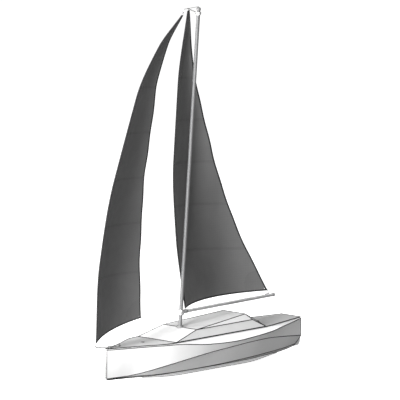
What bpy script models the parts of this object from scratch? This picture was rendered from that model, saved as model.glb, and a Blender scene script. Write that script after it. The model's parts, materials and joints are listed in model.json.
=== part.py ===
"""Radio-controlled sailing yacht: hard-chine hull, lift-off coachroof, rotating mainsail rig and free jib.

Metres, +Z up, +X towards the bow, +Y to port.  The origin is the middle of the flat under the ballast keel.
Places on the boat are given as (aft, port, up): distance aft of the stem, to port of the centreline, and
above the deck.
"""

import math

import bmesh
import bpy
from mathutils import Matrix, Vector

# ---------------------------------------------------------------- driving sizes
HULL_LENGTH = 0.650
HALF_BEAM = 0.083
HULL_DEPTH = 0.093  # deck to the flat of the ballast keel
HULL_WALL = 0.002
SOLID_NOSE = 0.045
DECK_THICKNESS = 0.0016

KEEL_FLAT_START = 0.264  # aft of the stem
KEEL_FLAT_END = 0.480
KEEL_START = 0.120
KEEL_END = 0.590
KEEL_WIDTH = 0.020

CABIN_START = 0.180
CABIN_END = 0.494
CABIN_WALL = 0.002
RIDGE_AFT = 0.260  # the front roof edge, where the mast comes through
RIDGE_HEIGHT = 0.0206
ROOF_END = 0.450
ROOF_END_HEIGHT = 0.033
ROOF_END_HALF = 0.0365

MAST_DIAMETER = 0.009
MAST_LENGTH = 0.766  # above the ridge
MAST_RAKE = math.radians(4.87)
BOOM_DIAMETER = 0.008
BOOM_LENGTH = 0.316
BOOM_HEIGHT = 0.0565
BOOM_ANGLE = math.radians(1.3)  # to starboard
BOOM_START = 0.018  # aft of the mast's axis
TUBE_WALL = 0.0008

SAIL_THICKNESS = 0.0006
ROD_DIAMETER = 0.0018
MAIN_TACK_UP = 0.0645
MAIN_HEAD_UP = 0.784
MAIN_CAMBER = 0.136
JIB_TACK = (-0.034, 0.019)  # aft, up
JIB_HEAD = (0.267, 0.779)
JIB_RISE = 0.136  # slope of the foot
JIB_CAMBER = 0.085

TRAY_ABOVE_FLOOR = 0.040
TRAY_THICKNESS = 0.003
TRAY_HALF_WIDTH = 0.042
BULKHEAD_THICKNESS = 0.003
FORE_BULKHEAD_AFT = 0.150
MID_BULKHEAD_AFT = 0.284
AFT_BULKHEAD_AFT = 0.503
SERVO_SHAFT_DIAMETER = 0.005
HORN_RADIUS = 0.008  # shaft to pushrod, on the servo and on the tiller
PUSHROD_DIAMETER = 0.0016

STOCK_DIAMETER = 0.003
STOCK_STANDOFF = 0.008  # rudder axis behind the transom
BLADE_CHORD = 0.0245
BLADE_THICKNESS = 0.0035
BLADE_ABOVE_FLAT = 0.0175

GAP = 0.0003  # between pieces that touch
RUN = 0.0004  # round a piece that turns
PAST = 0.004  # how far a cutter runs past the wall it cuts
THROUGH = 0.01  # half the height of a cutter that goes right through a plate
BURIED = 0.002  # how far a rod runs into the solid it is joined to

# Table of offsets.  Stations are shares of the hull's length, half-breadths of the half beam and drops below
# the deck of the hull's depth.  The lines are the deck edge, the sheer knuckle, the chine, the bilge and the
# land that the ballast keel is bolted to.
STATIONS = (0.00, 0.12, 0.26, 0.43, 0.57, 0.69, 0.77, 0.85, 0.93, 1.00)
DECK_HALF = (0.018, 0.36, 0.78, 0.78, 0.78, 0.78, 0.765, 0.63, 0.49, 0.375)
KNUCKLE_HALF = (0.024, 0.375, 0.80, 0.985, 1.00, 0.965, 0.91, 0.75, 0.57, 0.39)
KNUCKLE_DROP = (0.035, 0.035, 0.04, 0.15, 0.19, 0.16, 0.13, 0.09, 0.06, 0.035)
CHINE_HALF = (0.018, 0.05, 0.61, 0.865, 0.89, 0.865, 0.78, 0.65, 0.53, 0.385)
CHINE_DROP = (0.78, 0.80, 0.58, 0.40, 0.335, 0.30, 0.31, 0.36, 0.42, 0.485)
BILGE_HALF = (0.018, 0.042, 0.24, 0.43, 0.49, 0.46, 0.40, 0.32, 0.245, 0.17)
BILGE_DROP = (0.80, 0.83, 0.86, 0.84, 0.82, 0.80, 0.79, 0.78, 0.76, 0.72)
LAND_HALF = (0.015, 0.035, 0.12, 0.13, 0.13, 0.13, 0.13, 0.12, 0.11, 0.10)
LAND_DROP = (0.812, 0.855, 0.90, 0.91, 0.915, 0.915, 0.905, 0.88, 0.855, 0.78)

# Sail plans: height share, luff forward of the line it hangs on, luff to starboard of it, chord, and the
# chord's angle to starboard.  The mainsail hangs on the mast's axis, the jib on its line of swivels.
MAIN_PLAN = (
    (0.00, -0.0150, 0.0000, 0.316, 4.7),
    (0.25, 0.0145, 0.0170, 0.234, 6.8),
    (0.50, 0.0266, 0.0270, 0.159, 8.5),
    (0.75, 0.0270, 0.0270, 0.076, 10.3),
    (1.00, 0.0177, 0.0180, 0.005, 12.0),
)
JIB_PLAN = (
    (0.00, 0.0000, 0.0000, 0.212, 13.1),
    (0.25, 0.0305, 0.0284, 0.197, 14.0),
    (0.50, 0.0427, 0.0398, 0.155, 14.7),
    (0.75, 0.0418, 0.0391, 0.098, 15.3),
    (0.90, 0.0264, 0.0247, 0.050, 15.7),
    (1.00, 0.0000, 0.0000, 0.005, 16.0),
)

STEM_X = (KEEL_FLAT_START + KEEL_FLAT_END) / 2
MAST_RADIUS = MAST_DIAMETER / 2
BOOM_RADIUS = BOOM_DIAMETER / 2
ROD_RADIUS = ROD_DIAMETER / 2
SHAFT_RADIUS = SERVO_SHAFT_DIAMETER / 2
PUSHROD_RADIUS = PUSHROD_DIAMETER / 2
STOCK_RADIUS = STOCK_DIAMETER / 2
HULL_TOP = -(DECK_THICKNESS + GAP)
UP = Vector((0, 0, 1))


# ---------------------------------------------------------------- scene and helpers
def empty_scene():
    for old in list(bpy.data.objects):
        bpy.data.objects.remove(old, do_unlink=True)


def new_collection(name):
    collection = bpy.data.collections.new(name)
    bpy.context.scene.collection.children.link(collection)
    return collection


empty_scene()
PARTS = new_collection("rc_sailboat")
CUTTERS = new_collection("cutters")


def paint(name, colour, roughness, metallic=0.0):
    material = bpy.data.materials.new(name)
    material.use_nodes = True
    shader = material.node_tree.nodes["Principled BSDF"]
    shader.inputs["Base Color"].default_value = (*colour, 1)
    shader.inputs["Roughness"].default_value = roughness
    shader.inputs["Metallic"].default_value = metallic
    return material


WHITE = paint("hull_white", (0.86, 0.86, 0.86), 0.25)
DECK_GREY = paint("deck_grey", (0.72, 0.72, 0.72), 0.35)
ROOF_GREY = paint("roof_grey", (0.78, 0.78, 0.78), 0.3)
ALUMINIUM = paint("spar_aluminium", (0.78, 0.79, 0.80), 0.3, 1.0)
STEEL = paint("stainless_steel", (0.6, 0.6, 0.6), 0.25, 1.0)
SAIL_GREY = paint("sail_grey", (0.07, 0.07, 0.075), 0.7)
BLACK = paint("black_plastic", (0.02, 0.02, 0.022), 0.45)
SERVO_BLACK = paint("servo_black", (0.03, 0.03, 0.035), 0.4)
RUBBER = paint("seal_rubber", (0.015, 0.015, 0.015), 0.8)
PLYWOOD = paint("plywood", (0.62, 0.45, 0.27), 0.6)
KEEL_PAINT = paint("keel_paint", (0.80, 0.80, 0.80), 0.4)
LEAD = paint("ballast_grey", (0.25, 0.25, 0.27), 0.6)
BLUE = paint("battery_wrap", (0.05, 0.12, 0.35), 0.35)


def adopt(obj, name, material):
    """Name an object, give it its material and move it to the boat's collection."""
    for owner in list(obj.users_collection):
        owner.objects.unlink(obj)
    PARTS.objects.link(obj)
    obj.name = name
    obj.data.name = name
    obj.data.materials.clear()
    obj.data.materials.append(material)
    return obj


def cutter(obj):
    """Turn an object into a hidden cutter."""
    for owner in list(obj.users_collection):
        owner.objects.unlink(obj)
    CUTTERS.objects.link(obj)
    obj.name = "cut_" + obj.name
    obj.hide_render = True
    obj.display_type = "WIRE"
    return obj


def boolean(obj, other, operation="DIFFERENCE"):
    modifier = obj.modifiers.new(operation.lower(), "BOOLEAN")
    modifier.operation = operation
    modifier.solver = "EXACT"
    modifier.object = cutter(other)
    return obj


def join(obj, *others):
    for other in others:
        boolean(obj, other, "UNION")
    return obj


def cut(obj, *others):
    for other in others:
        boolean(obj, other)
    return obj


def at(aft, port=0.0, up=0.0):
    """The world point that lies this far aft of the stem, to port and above the deck."""
    return Vector((STEM_X - aft, port, HULL_DEPTH + up))


def mesh_object(name, bm, material=WHITE):
    bmesh.ops.recalc_face_normals(bm, faces=bm.faces)
    mesh = bpy.data.meshes.new(name)
    bm.to_mesh(mesh)
    bm.free()
    obj = bpy.data.objects.new(name, mesh)
    bpy.context.scene.collection.objects.link(obj)
    return adopt(obj, name, material)


def box(name, size, centre, material=WHITE, bevel=0.0):
    bm = bmesh.new()
    bmesh.ops.create_cube(bm, size=1, matrix=Matrix.Diagonal((*size, 1)))
    obj = mesh_object(name, bm, material)
    obj.location = centre
    if bevel:
        round_off = obj.modifiers.new("bevel", "BEVEL")
        round_off.width = bevel
        round_off.segments = 2
    return obj


def span_box(name, aft, port, up, material=WHITE, bevel=0.0):
    """A box between two values of each of aft, port and up."""
    size = (aft[1] - aft[0], port[1] - port[0], up[1] - up[0])
    centre = at(sum(aft) / 2, sum(port) / 2, sum(up) / 2)
    return box(name, size, centre, material, bevel)


def around(middle, reach):
    """The two ends of a span that reaches as far either way from its middle."""
    return (middle - reach, middle + reach)


def shade_round(obj):
    obj.data.shade_smooth()
    obj.data.set_sharp_from_angle(angle=math.radians(35))
    return obj


def rod(name, start, end, radius, material=WHITE, sides=16):
    """A solid cylinder from one point to another, with its origin at the start."""
    axis = end - start
    bm = bmesh.new()
    bmesh.ops.create_cone(
        bm, cap_ends=True, segments=sides, radius1=radius, radius2=radius, depth=axis.length,
        matrix=Matrix.Translation((0, 0, axis.length / 2)),
    )
    obj = mesh_object(name, bm, material)
    obj.rotation_mode = "QUATERNION"
    obj.rotation_quaternion = UP.rotation_difference(axis)
    obj.location = start
    return shade_round(obj)


def upright(name, aft, port, ups, radius, material=WHITE, sides=16):
    """A vertical rod between two heights above the deck."""
    return rod(name, at(aft, port, ups[0]), at(aft, port, ups[1]), radius, material, sides)


def turned(name, profile, start, axis, material=WHITE, steps=24):
    """A profile of (radius, along) points, from the top down its outer side, turned about an axis."""
    mesh = bpy.data.meshes.new(name)
    points = [(radius, 0, along) for radius, along in profile]
    edges = [(i, (i + 1) % len(points)) for i in range(len(points))]
    if min(profile[0][0], profile[-1][0]) == 0:
        edges.pop()
    mesh.from_pydata(points, edges, [])
    obj = bpy.data.objects.new(name, mesh)
    bpy.context.scene.collection.objects.link(obj)
    screw = obj.modifiers.new("screw", "SCREW")
    screw.steps = steps
    screw.render_steps = steps
    screw.use_merge_vertices = True
    screw.merge_threshold = 0.00001
    screw.use_smooth_shade = False
    obj.rotation_mode = "QUATERNION"
    obj.rotation_quaternion = UP.rotation_difference(axis)
    obj.location = start
    return adopt(obj, name, material)


def ring(name, inner, outer, height, start, axis, material=WHITE, steps=24):
    profile = [(outer, height), (outer, 0), (inner, 0), (inner, height)]
    return turned(name, profile, start, axis, material, steps)


def wire(name, points, radius, material=STEEL):
    """A round wire with flat ends along a list of points."""
    curve = bpy.data.curves.new(name, "CURVE")
    curve.dimensions = "3D"
    curve.bevel_depth = radius
    curve.bevel_resolution = 2
    curve.use_fill_caps = True
    spline = curve.splines.new("POLY")
    spline.points.add(len(points) - 1)
    for point, place in zip(spline.points, points):
        point.co = (*place, 1)
    obj = bpy.data.objects.new(name, curve)
    bpy.context.scene.collection.objects.link(obj)
    return adopt(obj, name, material)


def to_mesh(obj):
    """Replace a curve object with the same shape as a closed mesh."""
    name = obj.name
    material = obj.data.materials[0]
    depsgraph = bpy.context.evaluated_depsgraph_get()
    mesh = bpy.data.meshes.new_from_object(obj.evaluated_get(depsgraph))
    bm = bmesh.new()
    bm.from_mesh(mesh)
    bmesh.ops.remove_doubles(bm, verts=bm.verts, dist=0.000001)
    place = obj.matrix_world.copy()
    bpy.data.objects.remove(obj)
    solid = mesh_object(name, bm, material)
    solid.matrix_world = place
    return solid


def bends(outline):
    """The points of a closed outline where it turns, without those along its straight runs."""
    kept = []
    for before, point, after in zip(outline[-1:] + outline[:-1], outline, outline[1:] + outline[:1]):
        first = (Vector(point) - Vector(before)).normalized()
        second = (Vector(after) - Vector(point)).normalized()
        if abs(first.x * second.y - first.y * second.x) > 0.0001:
            kept.append(point)
    return kept


def plate(name, outline, top, thickness, material=WHITE):
    """A flat plate with an outline of (aft, port) points, its upper face at a height above the deck."""
    outline = bends(outline)
    curve = bpy.data.curves.new(name, "CURVE")
    curve.dimensions = "2D"
    curve.fill_mode = "BOTH"
    curve.extrude = thickness / 2
    spline = curve.splines.new("POLY")
    spline.points.add(len(outline) - 1)
    for point, (aft, port) in zip(spline.points, outline):
        point.co = (STEM_X - aft, port, 0, 1)
    spline.use_cyclic_u = True
    obj = bpy.data.objects.new(name, curve)
    bpy.context.scene.collection.objects.link(obj)
    obj.location = (0, 0, HULL_DEPTH + top - thickness / 2)
    bpy.context.view_layer.update()
    return to_mesh(adopt(obj, name, material))


def loft(name, rings, material=WHITE):
    """A closed body through rings of the same number of points."""
    bm = bmesh.new()
    rows = [[bm.verts.new(point) for point in points] for points in rings]
    count = len(rows[0])
    for row, following in zip(rows, rows[1:]):
        for i in range(count):
            j = (i + 1) % count
            bm.faces.new((row[i], row[j], following[j], following[i]))
    bm.faces.new(reversed(rows[0]))
    bm.faces.new(rows[-1])
    return mesh_object(name, bm, material)


def faceted(name, points, material=WHITE):
    """The convex body whose corners are these points."""
    bm = bmesh.new()
    corners = [bm.verts.new(point) for point in points]
    bmesh.ops.convex_hull(bm, input=corners)
    return mesh_object(name, bm, material)


def curve_value(knots, values, x):
    """A smooth curve through the values that never overshoots them."""
    x = min(max(x, knots[0]), knots[-1])
    spans = [b - a for a, b in zip(knots, knots[1:])]
    secants = [(b - a) / span for a, b, span in zip(values, values[1:], spans)]
    slopes = [secants[0]]
    for left, right in zip(secants, secants[1:]):
        slopes.append(2 * left * right / (left + right) if left * right > 0 else 0.0)
    slopes.append(secants[-1])
    i = 0
    while i < len(spans) - 1 and x > knots[i + 1]:
        i += 1
    s = (x - knots[i]) / spans[i]
    start = (1 + 2 * s) * (1 - s) ** 2 * values[i] + s * (1 - s) ** 2 * spans[i] * slopes[i]
    end = s * s * (3 - 2 * s) * values[i + 1] + s * s * (s - 1) * spans[i] * slopes[i + 1]
    return start + end


# ---------------------------------------------------------------- hull lines
FRAMES = 26  # the hull is faired at this many equal steps and straight between them


def faired(line, aft):
    """A hull line at a distance aft of the stem, as the faceted hull has it."""
    place = min(max(aft / HULL_LENGTH, 0.0), 1.0) * FRAMES
    before = min(int(place), FRAMES - 1)
    values = [curve_value(STATIONS, line, (before + step) / FRAMES) for step in (0, 1)]
    return values[0] + (values[1] - values[0]) * (place - before)


def half(line, aft):
    return HALF_BEAM * faired(line, aft)


def drop(line, aft):
    return HULL_DEPTH * faired(line, aft)


def floor_up(aft):
    """Height of the hull's inner floor, measured from the deck, so below zero."""
    return HULL_WALL - drop(LAND_DROP, aft)


def half_section(aft, inset=0.0):
    """The hull's section from deck edge to land as (half-breadth, up), moved in by a wall."""
    lines = (
        (DECK_HALF, None),
        (KNUCKLE_HALF, KNUCKLE_DROP),
        (CHINE_HALF, CHINE_DROP),
        (BILGE_HALF, BILGE_DROP),
        (LAND_HALF, LAND_DROP),
    )
    points = []
    for breadth, depth in lines:
        up = HULL_TOP - inset / 2 if depth is None else -drop(depth, aft)
        rise = 0.0 if depth in (None, KNUCKLE_DROP) else inset
        points.append((max(half(breadth, aft) - inset, 0.0004), up + rise))
    return points


def section_ring(aft, inset=0.0, top=None):
    """A section as one closed ring.  With a top, its sides rise straight to that height."""
    points = half_section(aft, inset)
    if top is not None:
        points.insert(0, (points[0][0], top))
    port = [at(aft, y, up) for y, up in points]
    starboard = [at(aft, -y, up) for y, up in reversed(points)]
    return port + starboard


def frames_between(start, end):
    """The two ends and every hull frame between them."""
    frames = [HULL_LENGTH * i / FRAMES for i in range(FRAMES + 1)]
    margin = 0.001
    return [start] + [frame for frame in frames if start + margin < frame < end - margin] + [end]


def make_hull_shell():
    outer = [section_ring(aft) for aft in frames_between(0, HULL_LENGTH)]
    shell = loft("hull_shell", outer, WHITE)
    inner_stations = frames_between(SOLID_NOSE, HULL_LENGTH - HULL_WALL)
    inner = [section_ring(aft, HULL_WALL, PAST) for aft in inner_stations]
    cut(shell, loft("hull_inside", inner))
    inside = -HULL_WALL - PAST
    boot_ends = (pushrod_at(HULL_LENGTH + inside), pushrod_at(HULL_LENGTH + PAST))
    boot_hole = rod("boot_hole", *boot_ends, BOOT_NECK + GAP)
    plug_hole = rod("plug_hole", plug_at(inside), plug_at(PAST), PLUG_NECK + GAP)
    return cut(shell, boot_hole, plug_hole)


COAMING_HEIGHT = 0.005
COAMING_WALL = 0.0015
SEAL_SIZE = 0.003  # width and height of the strip round the coaming
OPENING_START = 0.275
OPENING_END = 0.470
SIDE_DECK = 0.016  # hatch side to the opening's edge
DECK_MARGIN = 0.0006  # coachroof to the deck's edge
SHOULDER_INSET = 0.0086  # how much narrower the coachroof's shoulder is than its base


def cabin_half():
    """Half-width of the coachroof's base: as wide as the deck allows at both its ends."""
    return min(half(DECK_HALF, CABIN_START), half(DECK_HALF, CABIN_END)) - DECK_MARGIN


def shoulder_half():
    return cabin_half() - SHOULDER_INSET


def make_deck():
    stations = frames_between(0, HULL_LENGTH)
    port = [(aft, half(DECK_HALF, aft)) for aft in stations]
    starboard = [(aft, -y) for aft, y in reversed(port)]
    deck = plate("deck", port + starboard, 0, DECK_THICKNESS, DECK_GREY)
    reach = cabin_half() - SIDE_DECK
    opening = span_box("opening", (OPENING_START, OPENING_END), (-reach, reach), around(0, THROUGH))
    mast_hole = rod("mast_hole", mast_point(-0.034), mast_point(-0.010), MAST_RADIUS + 0.001)
    holes = [upright(f"{name}_hole", aft, port_side, around(0, THROUGH), FAIRLEAD_BORE)
             for name, aft, port_side in FAIRLEADS]
    return cut(deck, opening, mast_hole, *holes)


def make_coaming():
    reach = cabin_half() - SIDE_DECK
    aft = (OPENING_START - COAMING_WALL, OPENING_END + COAMING_WALL)
    side = reach + COAMING_WALL
    frame = span_box("hatch_coaming", aft, (-side, side), (GAP, GAP + COAMING_HEIGHT), DECK_GREY)
    hole = span_box("coaming_hole", (OPENING_START, OPENING_END), (-reach, reach), around(0, THROUGH))
    return cut(frame, hole)


def make_hatch_seal():
    """A soft strip round the coaming that the lid closes on, standing just clear of both."""
    reach = cabin_half() - SIDE_DECK + COAMING_WALL + GAP
    aft = (OPENING_START - COAMING_WALL - GAP, OPENING_END + COAMING_WALL + GAP)
    outer_aft = (aft[0] - SEAL_SIZE, aft[1] + SEAL_SIZE)
    outer = (-reach - SEAL_SIZE, reach + SEAL_SIZE)
    seal = span_box("hatch_seal", outer_aft, outer, (GAP, GAP + SEAL_SIZE), RUBBER)
    return cut(seal, span_box("seal_hole", aft, (-reach, reach), around(0, THROUGH)))


# ---------------------------------------------------------------- ballast keel
KEEL_EDGE = 0.002  # the ballast keel's depth at its two ends


def keel_bottom_up(aft):
    """Underside of the ballast keel: flat amidships, rising to a thin edge at both ends."""
    ends = [-drop(LAND_DROP, end) - GAP - KEEL_EDGE for end in (KEEL_START, KEEL_END)]
    knots = (KEEL_START, KEEL_FLAT_START, KEEL_FLAT_END, KEEL_END)
    return curve_value(knots, (ends[0], -HULL_DEPTH, -HULL_DEPTH, ends[1]), aft)


def make_ballast_keel():
    rings = []
    stations = sorted(frames_between(KEEL_START, KEEL_END) + [KEEL_FLAT_START, KEEL_FLAT_END])
    for aft in stations:
        top = -drop(LAND_DROP, aft) - GAP
        bottom = keel_bottom_up(aft)
        side = min(KEEL_WIDTH / 2, half(LAND_HALF, aft))
        corners = ((side, top), (side, bottom), (-side, bottom), (-side, top))
        rings.append([at(aft, port_side, up) for port_side, up in corners])
    return loft("ballast_keel", rings, KEEL_PAINT)


# ---------------------------------------------------------------- coachroof
BASE_GAP = 0.0005  # coachroof to deck
MAST_SLEEVE = 0.0025  # wall of the mast collar
COLLAR_BELOW = 0.018  # foot of the mast collar below the ridge
COLLAR_LENGTH = 0.022
LID_SEAM = 0.0005  # between the fixed front and the lid
LID_NOTCH = 0.0025  # between the mast collar and the lid
SHOULDER_PAST_ROOF = 0.006  # how far the shoulder runs aft of the roof
FORE_SLANT = 3.2  # wall measured along the deck, for each unit of wall, where the front slopes
AFT_SLANT = 1.6  # and where the aft end slopes
AFT_FLARE = 0.8  # how far the aft end moves aft for each unit down


def cabin_corners(start, inset):
    """Corners of the coachroof aft of a given plane, each face moved in by a wall."""
    base = cabin_half() - inset
    shoulder = shoulder_half() - inset
    below = PAST if inset else 0.0
    ridge = RIDGE_HEIGHT - inset
    end = CABIN_END - AFT_SLANT * inset
    corners = []
    for side in (1, -1):
        corners.append(at(start, side * base, BASE_GAP - below))
        corners.append(at(end + AFT_FLARE * below, side * base, BASE_GAP - below))
        corners.append(at(start, side * shoulder, ridge))
        corners.append(at(ROOF_END + SHOULDER_PAST_ROOF - inset, side * shoulder, ridge))
        corners.append(at(ROOF_END - inset, side * (ROOF_END_HALF - inset / 2), ROOF_END_HEIGHT - inset))
    return corners


def wedge(name, edges, material=WHITE):
    """A solid between edges that run across the boat, each given as (aft, half-width, up)."""
    return faceted(name, [at(aft, side * y, up) for aft, y, up in edges for side in (1, -1)], material)


def make_cabin_front():
    seam = RIDGE_AFT + GAP
    base = cabin_half()
    shoulder = shoulder_half()
    outer_edges = ((CABIN_START, base, BASE_GAP), (seam, base, BASE_GAP), (seam, shoulder, RIDGE_HEIGHT))
    wall = CABIN_WALL
    inner_edges = (
        (CABIN_START + FORE_SLANT * wall, base - wall, BASE_GAP - BURIED),
        (seam + BURIED, base - wall, BASE_GAP - BURIED),
        (seam + BURIED, shoulder - wall, RIDGE_HEIGHT - wall),
    )
    front = wedge("cabin_front", outer_edges, ROOF_GREY)
    mast_hole = mast_clearance("front_mast_hole", MAST_RADIUS + RUN + MAST_SLEEVE + GAP)
    return cut(front, wedge("front_inside", inner_edges), mast_hole)


def make_cabin_hatch():
    start = RIDGE_AFT + GAP + LID_SEAM
    lid = faceted("cabin_hatch", cabin_corners(start, 0.0), ROOF_GREY)
    inside = faceted("hatch_inside", cabin_corners(start - PAST, CABIN_WALL))
    notch = MAST_RADIUS + RUN + MAST_SLEEVE + LID_NOTCH
    return cut(lid, inside, mast_clearance("hatch_notch", notch))


def mast_clearance(name, radius):
    return rod(name, mast_point(-0.020), mast_point(0.030), radius, sides=24)


def make_mast_collar():
    bore = MAST_RADIUS + RUN
    outer = bore + MAST_SLEEVE
    foot = mast_point(-COLLAR_BELOW)
    return ring("mast_collar", bore, outer, COLLAR_LENGTH, foot, mast_axis(), RUBBER)


# ---------------------------------------------------------------- spars
def mast_axis():
    return Vector((-math.sin(MAST_RAKE), 0, math.cos(MAST_RAKE)))


def mast_point(along):
    """A point on the mast's axis, this far along it from the ridge."""
    return at(RIDGE_AFT, 0, RIDGE_HEIGHT) + mast_axis() * along


def mast_at_height(up):
    return mast_point((up - RIDGE_HEIGHT) / math.cos(MAST_RAKE))


def tube(name, start, end, radius, material=ALUMINIUM):
    length = (end - start).length
    return shade_round(ring(name, radius - TUBE_WALL, radius, length, start, end - start, material, 16))


def mast_foot():
    """The lower end of the mast, in its step on the hull's floor."""
    return mast_at_height(floor_up(RIDGE_AFT) + 0.005)


def make_mast_step():
    foot = mast_foot()
    size = (0.026, KEEL_WIDTH - 2 * HULL_WALL - 0.001, 0.014)
    floor = at(0, 0, floor_up(RIDGE_AFT - 0.013) + GAP).z
    step = box("mast_step", size, Vector((foot.x, 0, floor + size[2] / 2)), PLYWOOD)
    return cut(step, rod("step_socket", foot - mast_axis() * GAP, mast_at_height(0), MAST_RADIUS + GAP))


CAP_HEIGHT = 0.007
CRANE_RADIUS = 0.0009
CRANE_SEAT = 0.002  # foot of the crane above the mast's end


def make_mast_set():
    top = mast_point(MAST_LENGTH)
    axis = mast_axis()
    tube("mast", mast_foot(), top, MAST_RADIUS)
    edge = MAST_RADIUS + 0.001
    profile = [(0, CAP_HEIGHT), (edge - 0.002, CAP_HEIGHT), (edge, CAP_HEIGHT - 0.002), (edge, 0), (0, 0)]
    cap = shade_round(turned("mast_cap", profile, top + axis * GAP, axis, BLACK, 16))
    seat = top + axis * CRANE_SEAT
    cut(cap, rod("crane_hole", seat, seat + axis * CAP_HEIGHT, CRANE_RADIUS + GAP, sides=12))


def boom_axis():
    return Vector((-math.cos(BOOM_ANGLE), -math.sin(BOOM_ANGLE), 0))


def boom_point(along, side=0.0, up=0.0):
    """A point along the boom from its forward end, beside and above its axis."""
    start = mast_at_height(BOOM_HEIGHT) + boom_axis() * BOOM_START
    across = Vector((boom_axis().y, -boom_axis().x, 0))
    return start + boom_axis() * along + across * side + UP * up


BOOM_CAP = 0.003


def make_boom_set():
    cap_radius = BOOM_RADIUS + 0.0007
    tube("boom", boom_point(BOOM_CAP + GAP), boom_point(BOOM_LENGTH - BOOM_CAP - GAP), BOOM_RADIUS)
    rod("boom_front_cap", boom_point(0), boom_point(BOOM_CAP), cap_radius, BLACK)
    rod("boom_end_cap", boom_point(BOOM_LENGTH - BOOM_CAP), boom_point(BOOM_LENGTH), cap_radius, BLACK)


GOOSENECK_WALL = 0.0028
GOOSENECK_HEIGHT = 0.012
LUG_WIDTH = 0.005
LUG_HEIGHT = 0.009
LUG_LIFT = 0.0005
POST_RADIUS = 0.0018
POST_DEPTH = 0.008  # below the mainsail's tack


def make_gooseneck():
    """The collar that turns on the mast, with a lug for the boom and a post for the luff rod's foot."""
    bore = MAST_RADIUS + RUN
    outer = bore + GOOSENECK_WALL
    base = mast_at_height(BOOM_HEIGHT - GOOSENECK_HEIGHT / 2)
    collar = ring("gooseneck", bore, outer, GOOSENECK_HEIGHT, base, mast_axis(), ALUMINIUM)
    centre = mast_at_height(BOOM_HEIGHT)
    reach = BOOM_START - GAP - bore
    middle = Vector((centre.x - bore - reach / 2, 0, centre.z + LUG_LIFT))
    lug = box("lug", (reach, LUG_WIDTH, LUG_HEIGHT), middle)
    tack = main_luff(0)
    post = rod("post", tack - UP * POST_DEPTH, tack - UP * (ROD_FOOT + GAP), POST_RADIUS)
    ends = around(BOOM_HEIGHT, GOOSENECK_HEIGHT)
    bore_again = rod("gooseneck_bore", mast_at_height(ends[0]), mast_at_height(ends[1]), bore, sides=24)
    return cut(join(collar, lug, post), bore_again)


# ---------------------------------------------------------------- mainsail
def plan_value(plan, column, share):
    return curve_value([row[0] for row in plan], [row[column] for row in plan], share)


def main_luff(share):
    up = MAIN_TACK_UP + (MAIN_HEAD_UP - MAIN_TACK_UP) * share
    forward = plan_value(MAIN_PLAN, 1, share)
    starboard = plan_value(MAIN_PLAN, 2, share)
    return mast_at_height(up) + Vector((forward, -starboard, 0))


def jib_line(share):
    low = at(JIB_TACK[0], 0, JIB_TACK[1])
    high = at(JIB_HEAD[0], 0, JIB_HEAD[1])
    return low.lerp(high, share)


def jib_axis():
    return (jib_line(1) - jib_line(0)).normalized()


def jib_luff(share):
    forward = plan_value(JIB_PLAN, 1, share)
    starboard = plan_value(JIB_PLAN, 2, share)
    return jib_line(share) + Vector((forward, -starboard, 0))


def sail_point(plan, luff, camber, rise, share, along, side=0.0):
    """A point of a sail at a height share, a share along its chord, and off its surface to starboard."""
    chord = plan_value(plan, 3, share)
    angle = math.radians(plan_value(plan, 4, share))
    aft = Vector((-math.cos(angle), -math.sin(angle), rise * (1 - share)))
    lee = Vector((math.sin(angle), -math.cos(angle), 0))
    belly = 4 * along * (1 - along) * camber * chord
    start = luff(share) + aft.normalized() * (ROD_RADIUS + 1.7 * GAP + SAIL_THICKNESS / 2)
    return start + aft * (along * chord) + lee * (belly + side)


def main_point(share, along, side=0.0):
    return sail_point(MAIN_PLAN, main_luff, MAIN_CAMBER, 0.0, share, along, side)


def jib_point(share, along, side=0.0):
    return sail_point(JIB_PLAN, jib_luff, JIB_CAMBER, JIB_RISE, share, along, side)


def make_sail(name, point, rows, columns):
    """A sail as one thin solid: each row is a ring round its windward and leeward faces."""
    rings = []
    for row in range(rows + 1):
        share = row / rows
        windward = [point(share, i / columns, -SAIL_THICKNESS / 2) for i in range(columns + 1)]
        leeward = [point(share, i / columns, SAIL_THICKNESS / 2) for i in range(columns, -1, -1)]
        rings.append(windward + leeward)
    sail = loft(name, rings, SAIL_GREY)
    return shade_round(sail)


def make_luff_rod(name, luff, direction):
    """A rod up the luff, with a straight foot and head along the direction it is held in."""
    steps = 20
    points = [luff(i / steps) for i in range(steps + 1)]
    ends = (points[0] - direction * ROD_FOOT, points[-1] + direction * ROD_FOOT)
    return wire(name, [ends[0], *points, ends[1]], ROD_RADIUS, STEEL)


ROD_FOOT = 0.0025  # rod beyond the sail at each end
HOOK_RADIUS = 0.0008


def make_main_sail_set():
    make_sail("main_sail", main_point, 18, 10)
    make_luff_rod("main_luff_rod", main_luff, UP)
    clew = main_point(0, 1)
    on_boom = BOOM_RADIUS + HOOK_RADIUS + GAP
    saddle = boom_point(BOOM_LENGTH - 0.032, 0, on_boom)
    rise = boom_point(BOOM_LENGTH - 0.018, 0, on_boom)
    outer = clew + Vector((-HOOK_RADIUS - 2 * GAP, 0, -0.002))
    tip = clew + Vector((-HOOK_RADIUS - 2 * GAP, 0, 0.003))
    wire("outhaul_hook", [saddle, rise, outer, tip], HOOK_RADIUS, STEEL)


def make_masthead_swivel():
    """A ring below the mast cap whose arm carries the head of the mainsail's luff rod."""
    bore = MAST_RADIUS + RUN
    axis = mast_axis()
    base = mast_point(MAST_LENGTH - 0.010)
    swivel = ring("masthead_swivel", bore, bore + 0.002, 0.006, base, axis, STEEL)
    tip = main_luff(1) + UP * (ROD_FOOT + GAP + 0.0016)
    middle = base + axis * 0.003
    root = middle + (tip - middle).normalized() * (bore + 0.0008)
    arm = rod("arm", root, tip, 0.0011)
    seat = rod("seat", tip - UP * 0.0015, tip + UP * 0.0012, 0.0018)
    return join(swivel, arm, seat)


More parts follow.
